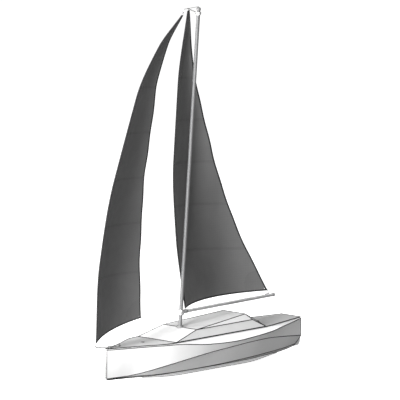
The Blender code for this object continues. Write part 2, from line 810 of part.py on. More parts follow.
# ---------------------------------------------------------------- jib and its fittings
SPRIT_RADIUS = 0.0015
SWIVEL_LENGTH = 0.007


def sprit_tip():
    return jib_line(0) - jib_axis() * (ROD_FOOT + SWIVEL_LENGTH + SPRIT_RADIUS + 2 * GAP + 0.0003)


def sprit_height():
    return SPRIT_RADIUS + 0.0008


def make_bowsprit():
    lift = sprit_height()
    points = [at(0.052, 0, lift), at(0.030, 0, lift), at(0.004, 0, lift), sprit_tip()]
    wire("bowsprit", points, SPRIT_RADIUS, STEEL)
    for name, aft in (("sprit_clamp_front", 0.012), ("sprit_clamp_rear", 0.042)):
        clamp = span_box(name, (aft - 0.003, aft + 0.003), (-0.0045, 0.0045), (GAP, lift + 0.0035), BLACK)
        along = rod(name + "_bore", at(aft - 0.006, 0, lift), at(aft + 0.006, 0, lift), SPRIT_RADIUS + GAP)
        cut(clamp, along)


def make_jib_set():
    axis = jib_axis()
    make_sail("jib_sail", jib_point, 18, 10)
    make_luff_rod("jib_luff_rod", jib_luff, axis)
    low = jib_line(0) - axis * (ROD_FOOT + SWIVEL_LENGTH + GAP)
    high = jib_line(1) + axis * (ROD_FOOT + GAP)
    profile = [(0.0009, SWIVEL_LENGTH), (0.0022, SWIVEL_LENGTH - 0.001), (0.0022, 0.001), (0.0009, 0)]
    profile = [(0, SWIVEL_LENGTH)] + profile + [(0, 0)]
    shade_round(turned("jib_tack_swivel", profile, low, axis, STEEL, 16))
    shade_round(turned("jib_head_swivel", profile, high, axis, STEEL, 16))
    clew = jib_point(0, 1)
    outward = (clew - jib_point(0, 0.95)).normalized()
    clew_ring("jib_clew_ring", clew + outward * (0.0032 + 2 * GAP), outward.cross(UP))


def clew_ring(name, centre, axis):
    bpy.ops.mesh.primitive_torus_add(
        major_radius=0.0025, minor_radius=0.0007, major_segments=20, minor_segments=8, location=centre,
    )
    obj = bpy.context.object
    obj.rotation_mode = "QUATERNION"
    obj.rotation_quaternion = UP.rotation_difference(axis)
    return shade_round(adopt(obj, name, STEEL))


def make_jib_crane():
    """The wire crane on the mast cap that reaches over the mainsail's head to the jib's upper swivel."""
    foot = mast_point(MAST_LENGTH) + mast_axis() * (CRANE_SEAT + GAP)
    bend = mast_point(MAST_LENGTH) + mast_axis() * (CAP_HEIGHT + GAP + CRANE_RADIUS + 0.001)
    end = jib_line(1) + jib_axis() * (ROD_FOOT + SWIVEL_LENGTH + 2 * GAP)
    rise = bend.z - end.z
    corner = end + jib_axis() * (rise / jib_axis().z)
    wire("jib_crane", [foot, bend, corner, end], CRANE_RADIUS, STEEL)


# ---------------------------------------------------------------- inside the hull
def make_bulkhead(name, aft, holes):
    """A plywood frame cut to the hull's inner section, with holes of (port, up from floor, radius)."""
    faces = (aft - BULKHEAD_THICKNESS / 2, aft + BULKHEAD_THICKNESS / 2)
    sections = [half_section(face, HULL_WALL) for face in faces]
    clear = 0.0009
    outline = []
    for index, (first, second) in enumerate(zip(*sections)):
        breadth = min(first[0], second[0]) - clear
        up = max(first[1], second[1]) + clear
        if index == 0:
            breadth -= clear
            up = HULL_TOP - clear
        elif index == 1:
            up = (first[1] + second[1]) / 2
        outline.append((max(breadth, 0.0004), up))
    rings = []
    for face in faces:
        port = [at(face, y, up) for y, up in outline]
        starboard = [at(face, -y, up) for y, up in reversed(outline)]
        rings.append(port + starboard)
    frame = loft(name, rings, PLYWOOD)
    for index, (port_side, above_floor, radius) in enumerate(holes):
        up = floor_up(aft) + above_floor
        start = at(aft - 0.01, port_side, up)
        cut(frame, rod(f"{name}_hole_{index}", start, at(aft + 0.01, port_side, up), radius, sides=20))
    return frame


def tray_up():
    """Height of the tray's upper face, measured from the deck."""
    return floor_up(WINCH_AFT) + TRAY_ABOVE_FLOOR


# length, width, height, flange length, flange thickness, flange underside above the base
WINCH_SERVO = (0.040, 0.020, 0.037, 0.054, 0.0025, 0.0270)
RUDDER_SERVO = (0.023, 0.012, 0.024, 0.032, 0.0020, 0.0160)
WINCH_AFT = 0.325
RUDDER_SERVO_AFT = 0.478
SHAFT_FROM_END = 0.010
SHAFT_HEIGHT = 0.004
BOSS_HEIGHT = 0.0012  # the raised ring round a servo's shaft
BOSS_WALL = 0.0022


def servo_base_up(servo):
    return tray_up() + GAP - servo[5]


def servo_top_up(servo):
    return servo_base_up(servo) + servo[2]


def shaft_aft(servo, aft):
    return aft + servo[0] / 2 - min(SHAFT_FROM_END, servo[0] / 3)


def make_servo(name, servo, aft):
    length, width, height, flange, lip, _ = servo
    base = servo_base_up(servo)
    top = base + height
    ears_up = tray_up() + GAP
    turn = shaft_aft(servo, aft)
    sides = around(0, width / 2)
    body = span_box(name, around(aft, length / 2), sides, (base, top), SERVO_BLACK)
    ears = span_box("ears", around(aft, flange / 2), sides, (ears_up, ears_up + lip))
    boss = upright("boss", turn, 0, (top - BURIED, top + BOSS_HEIGHT), SHAFT_RADIUS + BOSS_WALL, sides=24)
    shaft = upright("shaft", turn, 0, (top - BURIED, top + SHAFT_HEIGHT), SHAFT_RADIUS)
    join(body, ears, boss, shaft)
    for place, port_side in screw_places(servo, aft):
        hole_ups = (ears_up - BURIED, ears_up + lip + BURIED)
        cut(body, upright("ear_hole", place, port_side, hole_ups, SCREW_RADIUS + GAP, sides=12))
    return body


SCREW_RADIUS = 0.001
SCREW_HEAD = 0.0019
SCREW_BELOW_TRAY = 0.003
WIDE_SERVO = 0.015  # from this width, a servo has two screws at each end


def screw_places(servo, aft):
    """Where a servo's fixing screws go: two at each end of a wide servo, one at each end of a narrow one."""
    reach = (servo[0] + servo[3]) / 4
    sides = (servo[1] / 4, -servo[1] / 4) if servo[1] > WIDE_SERVO else (0.0,)
    return [(aft + end * reach, side) for end in (-1, 1) for side in sides]


def pan_head(length):
    """The profile of a screw with a low domed head and a shank of this length."""
    head = [(0, 0.0011), (0.0012, 0.0011), (SCREW_HEAD, 0.0005), (SCREW_HEAD, 0)]
    return head + [(SCREW_RADIUS, 0), (SCREW_RADIUS, -length), (0, -length)]


def make_servo_screws(name, servo, aft):
    top = tray_up() + GAP + servo[4] + GAP
    profile = pan_head(servo[4] + TRAY_THICKNESS + SCREW_BELOW_TRAY)
    for index, (place, port_side) in enumerate(screw_places(servo, aft), 1):
        turned(f"{name}_{index}", profile, at(place, port_side, top), UP, STEEL, 12)


def make_tray():
    clear = 0.0005
    edge = BULKHEAD_THICKNESS / 2 + GAP
    aft = (MID_BULKHEAD_AFT + edge, AFT_BULKHEAD_AFT - edge)
    top = tray_up()
    heights = around(top, THROUGH)
    tray = span_box("radio_tray", aft, around(0, TRAY_HALF_WIDTH), (top - TRAY_THICKNESS, top), PLYWOOD)
    for servo, place in ((WINCH_SERVO, WINCH_AFT), (RUDDER_SERVO, RUDDER_SERVO_AFT)):
        reach = servo[0] / 2 + clear
        side = servo[1] / 2 + clear
        cut(tray, span_box("servo_hole", around(place, reach), around(0, side), heights))
        for screw_aft, port_side in screw_places(servo, place):
            cut(tray, upright("screw_hole", screw_aft, port_side, heights, SCREW_RADIUS + GAP, sides=12))
    return tray


BATTERY = (0.070, 0.030, 0.016)
BATTERY_PLACE = (0.420, 0.024)
RECEIVER = (0.038, 0.024, 0.012)
RECEIVER_PLACE = (0.392, -0.026)
SWITCH = (0.020, 0.009, 0.008)
SWITCH_PLACE = (0.445, -0.030)
SWITCH_TRAVEL = 0.004
LEVER = 0.0035
LEVER_REACH = 0.003  # above the switch and into its slot
STRAP_WIDTH = 0.012
STRAP_THICKNESS = 0.001


def tray_box(name, size, place, material, bevel):
    """A box that stands on the tray."""
    base = tray_up() + GAP
    lengthways = around(place[0], size[0] / 2)
    sideways = around(place[1], size[1] / 2)
    return span_box(name, lengthways, sideways, (base, base + size[2]), material, bevel)


def make_radio_gear():
    tray_box("battery_pack", BATTERY, BATTERY_PLACE, BLUE, 0.003)
    tray_box("receiver", RECEIVER, RECEIVER_PLACE, BLACK, 0.0012)
    around_battery = GAP + STRAP_THICKNESS
    strap_size = (STRAP_WIDTH, BATTERY[1] + 2 * around_battery, BATTERY[2] + around_battery)
    strap = tray_box("battery_strap", strap_size, BATTERY_PLACE, RUBBER, 0)
    aft, port_side = BATTERY_PLACE
    sideways = around(port_side, BATTERY[1] / 2 + GAP)
    heights = (tray_up() - THROUGH, tray_up() + 2 * GAP + BATTERY[2])
    cut(strap, span_box("strap_inside", around(aft, STRAP_WIDTH), sideways, heights))


def switch_top_up():
    return tray_up() + GAP + SWITCH[2]


def make_switch():
    """A slide switch, with its lever at the forward end of the slot."""
    body = tray_box("power_switch", SWITCH, SWITCH_PLACE, BLACK, 0)
    aft, port_side = SWITCH_PLACE
    top = switch_top_up()
    slot_length = around(aft, SWITCH_TRAVEL / 2 + LEVER / 2 + GAP)
    slot_width = around(port_side, LEVER / 2 + GAP)
    cut(body, span_box("switch_slot", slot_length, slot_width, around(top, LEVER_REACH)))
    start = aft - SWITCH_TRAVEL / 2
    heights = (top - LEVER_REACH + GAP, top + LEVER_REACH)
    span_box("switch_lever", around(start, LEVER / 2), around(port_side, LEVER / 2), heights, WHITE)


DRUM_RADIUS = 0.013
DRUM_HEIGHT = 0.011
DRUM_FLANGE = 0.0015
DRUM_GROOVE = 0.004  # depth of the line's groove
GROOVE_SLOPE = 0.002  # height of the groove's sloping side
LINE_HOLE = 0.0008  # radius of the hole for the sheet's end
LINE_HOLE_OUT = 0.011  # its distance from the drum's axis
SHAFT_SCREW = 0.0022
SHAFT_SCREW_HEAD = 0.0012
SHAFT_SCREW_LENGTH = 0.005


def make_winch_drum():
    turn = shaft_aft(WINCH_SERVO, WINCH_AFT)
    base = at(turn, 0, servo_top_up(WINCH_SERVO) + BOSS_HEIGHT + GAP)
    bore = SHAFT_RADIUS + GAP
    core = DRUM_RADIUS - DRUM_GROOVE
    low = DRUM_FLANGE
    high = DRUM_HEIGHT - DRUM_FLANGE
    profile = [
        (DRUM_RADIUS, DRUM_HEIGHT), (DRUM_RADIUS, high), (core, high - GROOVE_SLOPE),
        (core, low + GROOVE_SLOPE), (DRUM_RADIUS, low), (DRUM_RADIUS, 0), (bore, 0), (bore, SHAFT_HEIGHT),
        (SCREW_RADIUS + GAP, SHAFT_HEIGHT), (SCREW_RADIUS + GAP, DRUM_HEIGHT),
    ]
    drum = turned("winch_drum", profile, base, UP, BLACK, 32)
    edge = base + Vector((LINE_HOLE_OUT, 0, 0))
    cut(drum, rod("line_hole", edge - UP * BURIED, edge + UP * (low + GROOVE_SLOPE), LINE_HOLE, sides=12))
    profile = [
        (0, SHAFT_SCREW_HEAD), (SHAFT_SCREW, SHAFT_SCREW_HEAD), (SHAFT_SCREW, 0), (SCREW_RADIUS, 0),
        (SCREW_RADIUS, -SHAFT_SCREW_LENGTH), (0, -SHAFT_SCREW_LENGTH),
    ]
    turned("drum_screw", profile, base + UP * (DRUM_HEIGHT + GAP), UP, STEEL, 16)


# ---------------------------------------------------------------- steering
ARM_THICKNESS = 0.0016
ARM_HALF_WIDTH = 0.0018
ARM_PAST_PIN = 0.002
TILLER_HUB = 0.004  # height of the tiller's hub
HUB_WALL = 0.0025
HORN_HUB_WALL = 0.0018
PIN_REACH = 0.0035  # bent end of the pushrod below its own axis


def arm_up():
    """Height of the underside of the servo horn and the tiller arm, which are level."""
    return servo_top_up(RUDDER_SERVO) + BOSS_HEIGHT + GAP


def link_up():
    """Height of the pushrod's axis, just above the arms."""
    return arm_up() + ARM_THICKNESS + GAP + PUSHROD_RADIUS


def pushrod_at(aft):
    return at(aft, -HORN_RADIUS, link_up())


def make_arm(name, aft, hub_radius, bore, material, hub_height):
    """A flat arm to starboard from a hub round an upright axis, with a hole for the pushrod's end."""
    up = arm_up()
    hub = upright(name, aft, 0, (up, up + hub_height), hub_radius, material, 24)
    bar_reach = (-HORN_RADIUS - ARM_PAST_PIN, 0)
    bar = span_box("bar", around(aft, ARM_HALF_WIDTH), bar_reach, (up, up + ARM_THICKNESS))
    pin_hole = upright("pin_hole", aft, -HORN_RADIUS, around(up, PAST), PUSHROD_RADIUS + GAP, sides=12)
    hub_hole = upright("hub_hole", aft, 0, around(up, THROUGH), bore, sides=24)
    return cut(join(hub, bar), pin_hole, hub_hole)


def rudder_aft():
    return HULL_LENGTH + STOCK_STANDOFF


HORN_SCREW_LIFT = 0.0008  # above the servo's shaft


def make_steering():
    turn = shaft_aft(RUDDER_SERVO, RUDDER_SERVO_AFT)
    horn_hub = SHAFT_RADIUS + HORN_HUB_WALL
    make_arm("servo_horn", turn, horn_hub, SHAFT_RADIUS + GAP, WHITE, SHAFT_HEIGHT - BOSS_HEIGHT)
    screw_base = at(turn, 0, servo_top_up(RUDDER_SERVO) + SHAFT_HEIGHT + HORN_SCREW_LIFT)
    screw_head = SHAFT_RADIUS + 0.001
    profile = [(0, SHAFT_SCREW_HEAD), (screw_head, SHAFT_SCREW_HEAD), (screw_head, 0), (0, 0)]
    turned("horn_screw", profile, screw_base, UP, STEEL, 16)
    reach = Vector((0, 0, -PIN_REACH))
    ends = (pushrod_at(turn), pushrod_at(rudder_aft()))
    wire("rudder_pushrod", [ends[0] + reach, ends[0], ends[1], ends[1] + reach], PUSHROD_RADIUS, STEEL)
    make_arm("tiller_arm", rudder_aft(), STOCK_RADIUS + HUB_WALL, STOCK_RADIUS + GAP, BLACK, TILLER_HUB)


BOOT_NECK = 0.0042
BOOT_BORE = 0.0032
BOOT_LIP = 0.0013  # the outer flange beyond the neck
BOOT_FLANGE = 0.0012  # its thickness
BOOT_INSIDE = 0.002  # neck inside the transom
PLUG_NECK = 0.0030
PLUG_HEAD = 0.005
PLUG_HEAD_HEIGHT = 0.003
PLUG_SHANK = 0.004
PLUG_INBOARD = 0.002  # of the bilge's corner
PLUG_ABOVE_CHINE = 0.004


def make_rudder_boot():
    """The rubber boot in the transom that the pushrod passes through."""
    start = pushrod_at(HULL_LENGTH - HULL_WALL - BOOT_INSIDE)
    lip = BOOT_NECK + BOOT_LIP
    face = HULL_WALL + BOOT_INSIDE + GAP
    end = face + BOOT_FLANGE
    neck = [(BOOT_NECK, face), (BOOT_NECK, 0.0), (BOOT_BORE, 0.0)]
    profile = [(BOOT_BORE, end), (lip, end), (lip, face), *neck]
    return turned("pushrod_boot", profile, start, Vector((-1, 0, 0)), RUBBER, 20)


def plug_at(behind):
    side = half(BILGE_HALF, HULL_LENGTH) - PLUG_INBOARD
    return at(HULL_LENGTH + behind, side, -drop(CHINE_DROP, HULL_LENGTH) + PLUG_ABOVE_CHINE)


def make_drain_plug():
    top = PLUG_HEAD_HEIGHT
    profile = [
        (0, top), (PLUG_HEAD - 0.0008, top), (PLUG_HEAD, top - 0.001), (PLUG_HEAD, GAP), (PLUG_NECK, GAP),
        (PLUG_NECK, -PLUG_SHANK), (0, -PLUG_SHANK),
    ]
    return turned("drain_plug", profile, plug_at(0), Vector((-1, 0, 0)), RUBBER, 20)


GUDGEON_HEIGHT = 0.004
GUDGEON_WALL = 0.0018
GUDGEON_STRAP = (0.0012, 0.014, 0.008)  # thickness, width and height
WEB_THICKNESS = 0.003
UPPER_GUDGEON_SHARE = 0.6  # of the way from the pushrod's boot up to the deck
LOWER_GUDGEON_UP = 0.006  # above the bilge's corner


def gudgeon_ups():
    """Heights of the two gudgeons: one between the pushrod's boot and the deck, one near the bilge."""
    boot_top = link_up() + BOOT_NECK + BOOT_LIP
    return (boot_top * (1 - UPPER_GUDGEON_SHARE), -drop(BILGE_DROP, HULL_LENGTH) + LOWER_GUDGEON_UP)


def make_gudgeons():
    thickness, width, height = GUDGEON_STRAP
    transom = HULL_LENGTH + GAP
    aft = rudder_aft()
    for name, up in zip(("upper_gudgeon", "lower_gudgeon"), gudgeon_ups()):
        eye_ups = around(up, GUDGEON_HEIGHT / 2)
        strap_ups = around(up, height / 2)
        strap = span_box(name, (transom, transom + thickness), around(0, width / 2), strap_ups, STEEL)
        eye = upright("eye", aft, 0, eye_ups, STOCK_RADIUS + GUDGEON_WALL, sides=20)
        web = span_box("web", (transom + thickness / 2, aft), around(0, WEB_THICKNESS / 2), eye_ups)
        bore = upright("eye_bore", aft, 0, around(up, THROUGH), STOCK_RADIUS + RUN, sides=20)
        cut(join(strap, eye, web), bore)


STOCK_HEAD = 0.001  # how much the stock's head stands out
STOCK_HEAD_HEIGHT = 0.0015
STOCK_BELOW = 0.003  # stock below the lower gudgeon
BLADE_BELOW_TILLER = 0.002
BLADE_CORNER = 0.008  # cut off the blade's lower aft corner
BLADE_EDGE = 0.0012  # rounding of the blade's edges


def make_rudder_stock(high, low):
    start = low - GUDGEON_HEIGHT / 2 - STOCK_BELOW
    length = high + GUDGEON_HEIGHT / 2 + 0.001 + STOCK_HEAD_HEIGHT - start
    under_head = length - STOCK_HEAD_HEIGHT
    head = STOCK_RADIUS + STOCK_HEAD
    shank = [(STOCK_RADIUS, under_head), (STOCK_RADIUS, 0), (0, 0)]
    profile = [(0, length), (head, length), (head, under_head), *shank]
    turned("rudder_stock", profile, at(rudder_aft(), 0, start), UP, STEEL, 20)


def make_rudder():
    """The rudder's stock and its blade, which is notched round the lower gudgeon."""
    high, low = gudgeon_ups()
    make_rudder_stock(high, low)
    bottom = BLADE_ABOVE_FLAT - HULL_DEPTH
    top = arm_up() - BLADE_BELOW_TILLER
    start = rudder_aft() + STOCK_RADIUS + GAP
    end = rudder_aft() + BLADE_CHORD
    outline = [
        (start, top), (end - 0.006, top), (end, top - 0.010), (end - 0.003, bottom + BLADE_CORNER),
        (end - BLADE_CORNER, bottom), (start, bottom),
    ]
    faces = (BLADE_THICKNESS / 2, -BLADE_THICKNESS / 2)
    rings = [[at(aft, side, up) for aft, up in outline] for side in faces]
    blade = loft("rudder_blade", rings, WHITE)
    room = 0.0006
    sweep = STOCK_RADIUS + GUDGEON_WALL + room
    notch_ups = around(low, GUDGEON_HEIGHT / 2 + room)
    notch = upright("gudgeon_notch", rudder_aft(), 0, notch_ups, sweep, sides=24)
    edges = blade.modifiers.new("bevel", "BEVEL")
    edges.width = BLADE_EDGE
    edges.segments = 2
    edges.limit_method = "ANGLE"
    return cut(blade, notch)


# ---------------------------------------------------------------- deck fittings
FAIRLEAD_BORE = 0.0022
FAIRLEADS = (("jib_sheet_exit", 0.128, 0.0), ("main_sheet_exit", 0.532, 0.0))


def make_fairleads():
    for name, aft, port_side in FAIRLEADS:
        profile = [
            (FAIRLEAD_BORE, 0.0018), (FAIRLEAD_BORE + 0.0006, 0.0022), (FAIRLEAD_BORE + 0.0018, 0.0018),
            (FAIRLEAD_BORE + 0.0028, GAP), (FAIRLEAD_BORE, GAP),
        ]
        shade_round(turned(name, profile, at(aft, port_side, 0), UP, BLACK, 20))


BALLAST_HEIGHT = 0.010


def make_ballast_bar():
    """The inner ballast: a bar on the hull's floor under the tray, between two bulkheads."""
    aft = (MID_BULKHEAD_AFT + 0.004, AFT_BULKHEAD_AFT - 0.010)
    side = half(LAND_HALF, aft[1]) - HULL_WALL - 0.0006
    floor = max(floor_up(aft[0]), floor_up(aft[1]), floor_up(sum(aft) / 2)) + GAP
    return span_box("ballast_bar", aft, (-side, side), (floor, floor + BALLAST_HEIGHT), LEAD)


def build():
    make_hull_shell()
    make_deck()
    make_coaming()
    make_hatch_seal()
    make_ballast_keel()
    make_cabin_front()
    make_cabin_hatch()
    make_mast_collar()
    make_mast_step()
    make_mast_set()
    make_boom_set()
    make_gooseneck()
    make_main_sail_set()
    make_masthead_swivel()
    make_bowsprit()
    make_jib_set()
    make_jib_crane()
    make_bulkhead("fore_bulkhead", FORE_BULKHEAD_AFT, [(0.0, 0.045, 0.014)])
    make_bulkhead("mid_bulkhead", MID_BULKHEAD_AFT, [(0.030, 0.056, 0.010), (-0.030, 0.056, 0.010)])
    rod_height = link_up() - floor_up(AFT_BULKHEAD_AFT)
    make_bulkhead("aft_bulkhead", AFT_BULKHEAD_AFT, [(-HORN_RADIUS + 0.0015, rod_height, 0.006)])
    make_tray()
    make_servo("winch_servo", WINCH_SERVO, WINCH_AFT)
    make_servo("rudder_servo", RUDDER_SERVO, RUDDER_SERVO_AFT)
    make_servo_screws("winch_screw", WINCH_SERVO, WINCH_AFT)
    make_servo_screws("rudder_servo_screw", RUDDER_SERVO, RUDDER_SERVO_AFT)
    make_radio_gear()
    make_switch()
    make_winch_drum()
    make_steering()
    make_rudder_boot()
    make_drain_plug()
    make_gudgeons()
    make_rudder()
    make_fairleads()
    make_ballast_bar()


build()
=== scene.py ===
# %% [markdown]
# # A radio-controlled sailing yacht
# The frame is the engineer's model of the boat: every rigid piece at its true size, in metres, with
# the bow towards +X, port towards +Y and the mast towards +Z. The origin is the middle of the flat
# under the ballast keel. This lesson keeps those pieces and gives them their finishes, and it makes
# what a solid model leaves out: the two sails with their tapes, patches and stitching, the lining of
# the edges, and a hull whose facets are faired.

# %% Load the frame
import json
import math

import bmesh
import bpy
from mathutils import Matrix, Vector

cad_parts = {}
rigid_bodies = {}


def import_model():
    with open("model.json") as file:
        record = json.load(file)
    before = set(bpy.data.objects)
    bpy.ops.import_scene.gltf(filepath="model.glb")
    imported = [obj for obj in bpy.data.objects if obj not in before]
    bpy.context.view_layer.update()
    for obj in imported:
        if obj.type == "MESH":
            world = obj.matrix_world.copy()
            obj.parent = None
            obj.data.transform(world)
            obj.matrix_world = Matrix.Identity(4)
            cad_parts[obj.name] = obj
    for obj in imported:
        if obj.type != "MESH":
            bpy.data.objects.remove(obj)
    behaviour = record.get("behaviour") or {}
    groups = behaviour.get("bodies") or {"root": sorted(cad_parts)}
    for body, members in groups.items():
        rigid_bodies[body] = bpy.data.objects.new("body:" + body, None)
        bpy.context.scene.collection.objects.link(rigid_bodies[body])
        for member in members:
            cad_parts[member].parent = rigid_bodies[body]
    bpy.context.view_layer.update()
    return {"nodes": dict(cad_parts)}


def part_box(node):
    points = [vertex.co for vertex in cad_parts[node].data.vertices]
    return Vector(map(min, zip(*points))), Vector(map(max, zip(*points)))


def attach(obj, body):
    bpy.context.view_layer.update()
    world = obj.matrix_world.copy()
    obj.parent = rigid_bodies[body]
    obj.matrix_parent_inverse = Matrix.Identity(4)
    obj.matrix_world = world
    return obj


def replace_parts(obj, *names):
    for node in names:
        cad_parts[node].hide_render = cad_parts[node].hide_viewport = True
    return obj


for leftover in list(bpy.data.objects):
    bpy.data.objects.remove(leftover, do_unlink=True)

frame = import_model()
nodes = frame["nodes"]

# %% [markdown]
# ## Camera, floor and light
# A product picture of a model is taken from far away with a long lens, so that the mast stays upright
# and the hull keeps its proportions. An orthographic camera does the same without any lens at all.
# It stands off the port bow, a little above the deck.

# %% Camera
VIEW_TURN = math.radians(133.1)  # from the starboard beam, round by the bow
VIEW_RISE = math.radians(9.85)
VIEW_TARGET = Vector((0.0417, 0.0, 0.4142))
VIEW_WIDTH = 0.96
VIEW_DISTANCE = 4.0
VIEW_REACH = 20  # how far the lens sees

towards_camera = Vector((
    math.sin(VIEW_TURN) * math.cos(VIEW_RISE),
    -math.cos(VIEW_TURN) * math.cos(VIEW_RISE),
    math.sin(VIEW_RISE),
))
lens = bpy.data.cameras.new("port_bow_camera")
lens.type = "ORTHO"
lens.ortho_scale = VIEW_WIDTH
lens.clip_end = VIEW_REACH
camera = bpy.data.objects.new("port_bow_camera", lens)
camera.location = VIEW_TARGET + towards_camera * VIEW_DISTANCE
camera.rotation_euler = towards_camera.to_track_quat("Z", "Y").to_euler()
bpy.context.scene.collection.objects.link(camera)
bpy.context.scene.camera = camera
print("camera stands at", [round(value, 2) for value in camera.location])

# %% [markdown]
# The boat stands on a white sweep. White paper in a studio is lit so hard that it shows no texture
# and only a trace of shadow, so the floor glows by itself and the lamps add the rest. Its glow is
# kept away from the boat, which it would light from below.

# %% Floor
FLOOR_HALF = 8.0
FLOOR_DROP = 0.0006  # just under the bead along the keel
PAPER_GREY = 0.80
PAPER_GLOW = 0.82

floor_finish = bpy.data.materials.new("white sweep")
floor_finish.use_nodes = True
paper = floor_finish.node_tree.nodes["Principled BSDF"]
paper.inputs["Base Color"].default_value = (PAPER_GREY, PAPER_GREY, PAPER_GREY, 1)
paper.inputs["Roughness"].default_value = 0.9
paper.inputs["Emission Color"].default_value = (1, 1, 1, 1)
paper.inputs["Emission Strength"].default_value = PAPER_GLOW

floor_corners = [
    (x * FLOOR_HALF, y * FLOOR_HALF, -FLOOR_DROP) for x, y in ((-1, -1), (1, -1), (1, 1), (-1, 1))]
floor_mesh = bpy.data.meshes.new("floor")
floor_mesh.from_pydata(floor_corners, [], [(0, 1, 2, 3)])
floor_mesh.materials.append(floor_finish)
floor = bpy.data.objects.new("floor", floor_mesh)
floor.visible_diffuse = False  # the glow lights nothing
floor.visible_glossy = False  # and shows in no reflection
bpy.context.scene.collection.objects.link(floor)
print("floor is", 2 * FLOOR_HALF, "m across")

# %% [markdown]
# The lamps are large and soft, and they stand ahead of the boat, from the starboard bow round to the
# port bow. They rake along the topsides, so the bow is bright and the panels darken towards the
# transom, where they turn away. One high lamp lights the deck, and two weak ones keep the stern from
# going black.

# %% Lamps
LAMP_DISTANCE = 4.5
LAMP_SIZE = 1.2
MID_BOAT = Vector((0.0, 0.0, 0.3))
LAMPS = (
    # name, degrees from the bow towards port, degrees up, watts
    ("starboard_bow_lamp", -40, 6, 200),
    ("ahead_lamp", -10, 30, 150),
    ("key_lamp", 15, 6, 270),
    ("high_lamp", 15, 60, 50),
    ("port_bow_lamp", 40, 6, 100),
    ("beam_lamp", 95, 6, 14),
    ("stern_lamp", 180, 30, 50),
)


def soft_lamp(name, turn, rise, power):
    turn, rise = math.radians(turn), math.radians(rise)
    direction = Vector((math.cos(turn) * math.cos(rise), math.sin(turn) * math.cos(rise), math.sin(rise)))
    data = bpy.data.lights.new(name, "AREA")
    data.shape = "DISK"
    data.size = LAMP_SIZE
    data.energy = power
    lamp = bpy.data.objects.new(name, data)
    lamp.location = MID_BOAT + direction * LAMP_DISTANCE
    lamp.rotation_euler = direction.to_track_quat("Z", "Y").to_euler()
    bpy.context.scene.collection.objects.link(lamp)


for row in LAMPS:
    soft_lamp(*row)
print("lamps:", len(LAMPS))

# %% [markdown]
# The room is white. Metal has to mirror that white to look like metal, but as a light it would
# flatten the shading of the hull, so matt surfaces receive only a small share of it.

# %% The room
ROOM_LIGHT = 0.40
ROOM_SHARE = 0.08  # for matt surfaces

world = bpy.data.worlds.new("studio")
bpy.context.scene.world = world
world.use_nodes = True
room = world.node_tree
room.nodes.clear()
ray = room.nodes.new("ShaderNodeLightPath")
choose = room.nodes.new("ShaderNodeMix")
choose.data_type = "FLOAT"
choose.inputs["A"].default_value = ROOM_LIGHT
choose.inputs["B"].default_value = ROOM_SHARE
room.links.new(ray.outputs["Is Diffuse Ray"], choose.inputs["Factor"])
brighter = room.nodes.new("ShaderNodeMath")
brighter.operation = "MAXIMUM"
room.links.new(choose.outputs["Result"], brighter.inputs[0])
room.links.new(ray.outputs["Is Camera Ray"], brighter.inputs[1])
white_room = room.nodes.new("ShaderNodeBackground")
room.links.new(brighter.outputs[0], white_room.inputs["Strength"])
white_room.inputs["Color"].default_value = (1, 1, 1, 1)
out = room.nodes.new("ShaderNodeOutputWorld")
room.links.new(white_room.outputs["Background"], out.inputs["Surface"])
bpy.context.scene.view_settings.view_transform = "Standard"
print("room light", ROOM_LIGHT, "of which matt surfaces get", ROOM_SHARE)

# %% [markdown]
# ## Finishes
# Every finish is made of the same few things: a colour that wanders a little, a gloss that wanders
# with it, and a fine relief. One helper wires them, and each finish says how coarse its patches and
# its relief are. Object coordinates are metres here, so a noise scale of 500 means features about two
# millimetres long.

# %% A finish helper
BEVEL_SAMPLES = 4
GLOSS_FINENESS = 3  # patches of gloss are this many times finer than patches of colour


def new_finish(name):
    material = bpy.data.materials.new(name)
    material.use_nodes = True
    tree = material.node_tree
    return material, tree, tree.nodes["Principled BSDF"]


def placed(tree, stretch=(1, 1, 1), source="Object"):
    """Coordinates in metres, stretched by three factors: a small factor draws the pattern out that way."""
    where = tree.nodes.new("ShaderNodeTexCoord")
    mapping = tree.nodes.new("ShaderNodeMapping")
    mapping.inputs["Scale"].default_value = stretch
    tree.links.new(where.outputs[source], mapping.inputs["Vector"])
    return mapping.outputs["Vector"]


def noise(tree, vector, scale, detail=3.0):
    node = tree.nodes.new("ShaderNodeTexNoise")
    node.inputs["Scale"].default_value = scale
    node.inputs["Detail"].default_value = detail
    tree.links.new(vector, node.inputs["Vector"])
    return node.outputs["Fac"]


def spread(tree, value, low, high, start=0.3, end=0.7):
    """A value from a texture, spread over a range of gloss or height."""
    node = tree.nodes.new("ShaderNodeMapRange")
    for name, number in (("From Min", start), ("From Max", end), ("To Min", low), ("To Max", high)):
        node.inputs[name].default_value = number
    tree.links.new(value, node.inputs["Value"])
    return node.outputs["Result"]


def colours(tree, value, stops):
    """A colour ramp: stops are (place, grey or colour)."""
    ramp = tree.nodes.new("ShaderNodeValToRGB")
    elements = ramp.color_ramp.elements
    while len(elements) < len(stops):
        elements.new(0.5)
    for element, (place, colour) in zip(elements, stops):
        rgb = (colour,) * 3 if isinstance(colour, float) else colour
        element.position = place
        element.color = (*rgb, 1)
    tree.links.new(value, ramp.inputs["Fac"])
    return ramp.outputs["Color"]


def relief(tree, shader, height, depth, strength=1.0, under=None):
    bump = tree.nodes.new("ShaderNodeBump")
    bump.inputs["Strength"].default_value = strength
    bump.inputs["Distance"].default_value = depth
    tree.links.new(height, bump.inputs["Height"])
    if under:
        tree.links.new(under, bump.inputs["Normal"])
    tree.links.new(bump.outputs["Normal"], shader.inputs["Normal"])
    return bump.outputs["Normal"]


def rounded(tree, radius):
    """The normal of a mould with its sharp edges eased by this radius."""
    bevel = tree.nodes.new("ShaderNodeBevel")
    bevel.samples = BEVEL_SAMPLES
    bevel.inputs["Radius"].default_value = radius
    return bevel.outputs["Normal"]


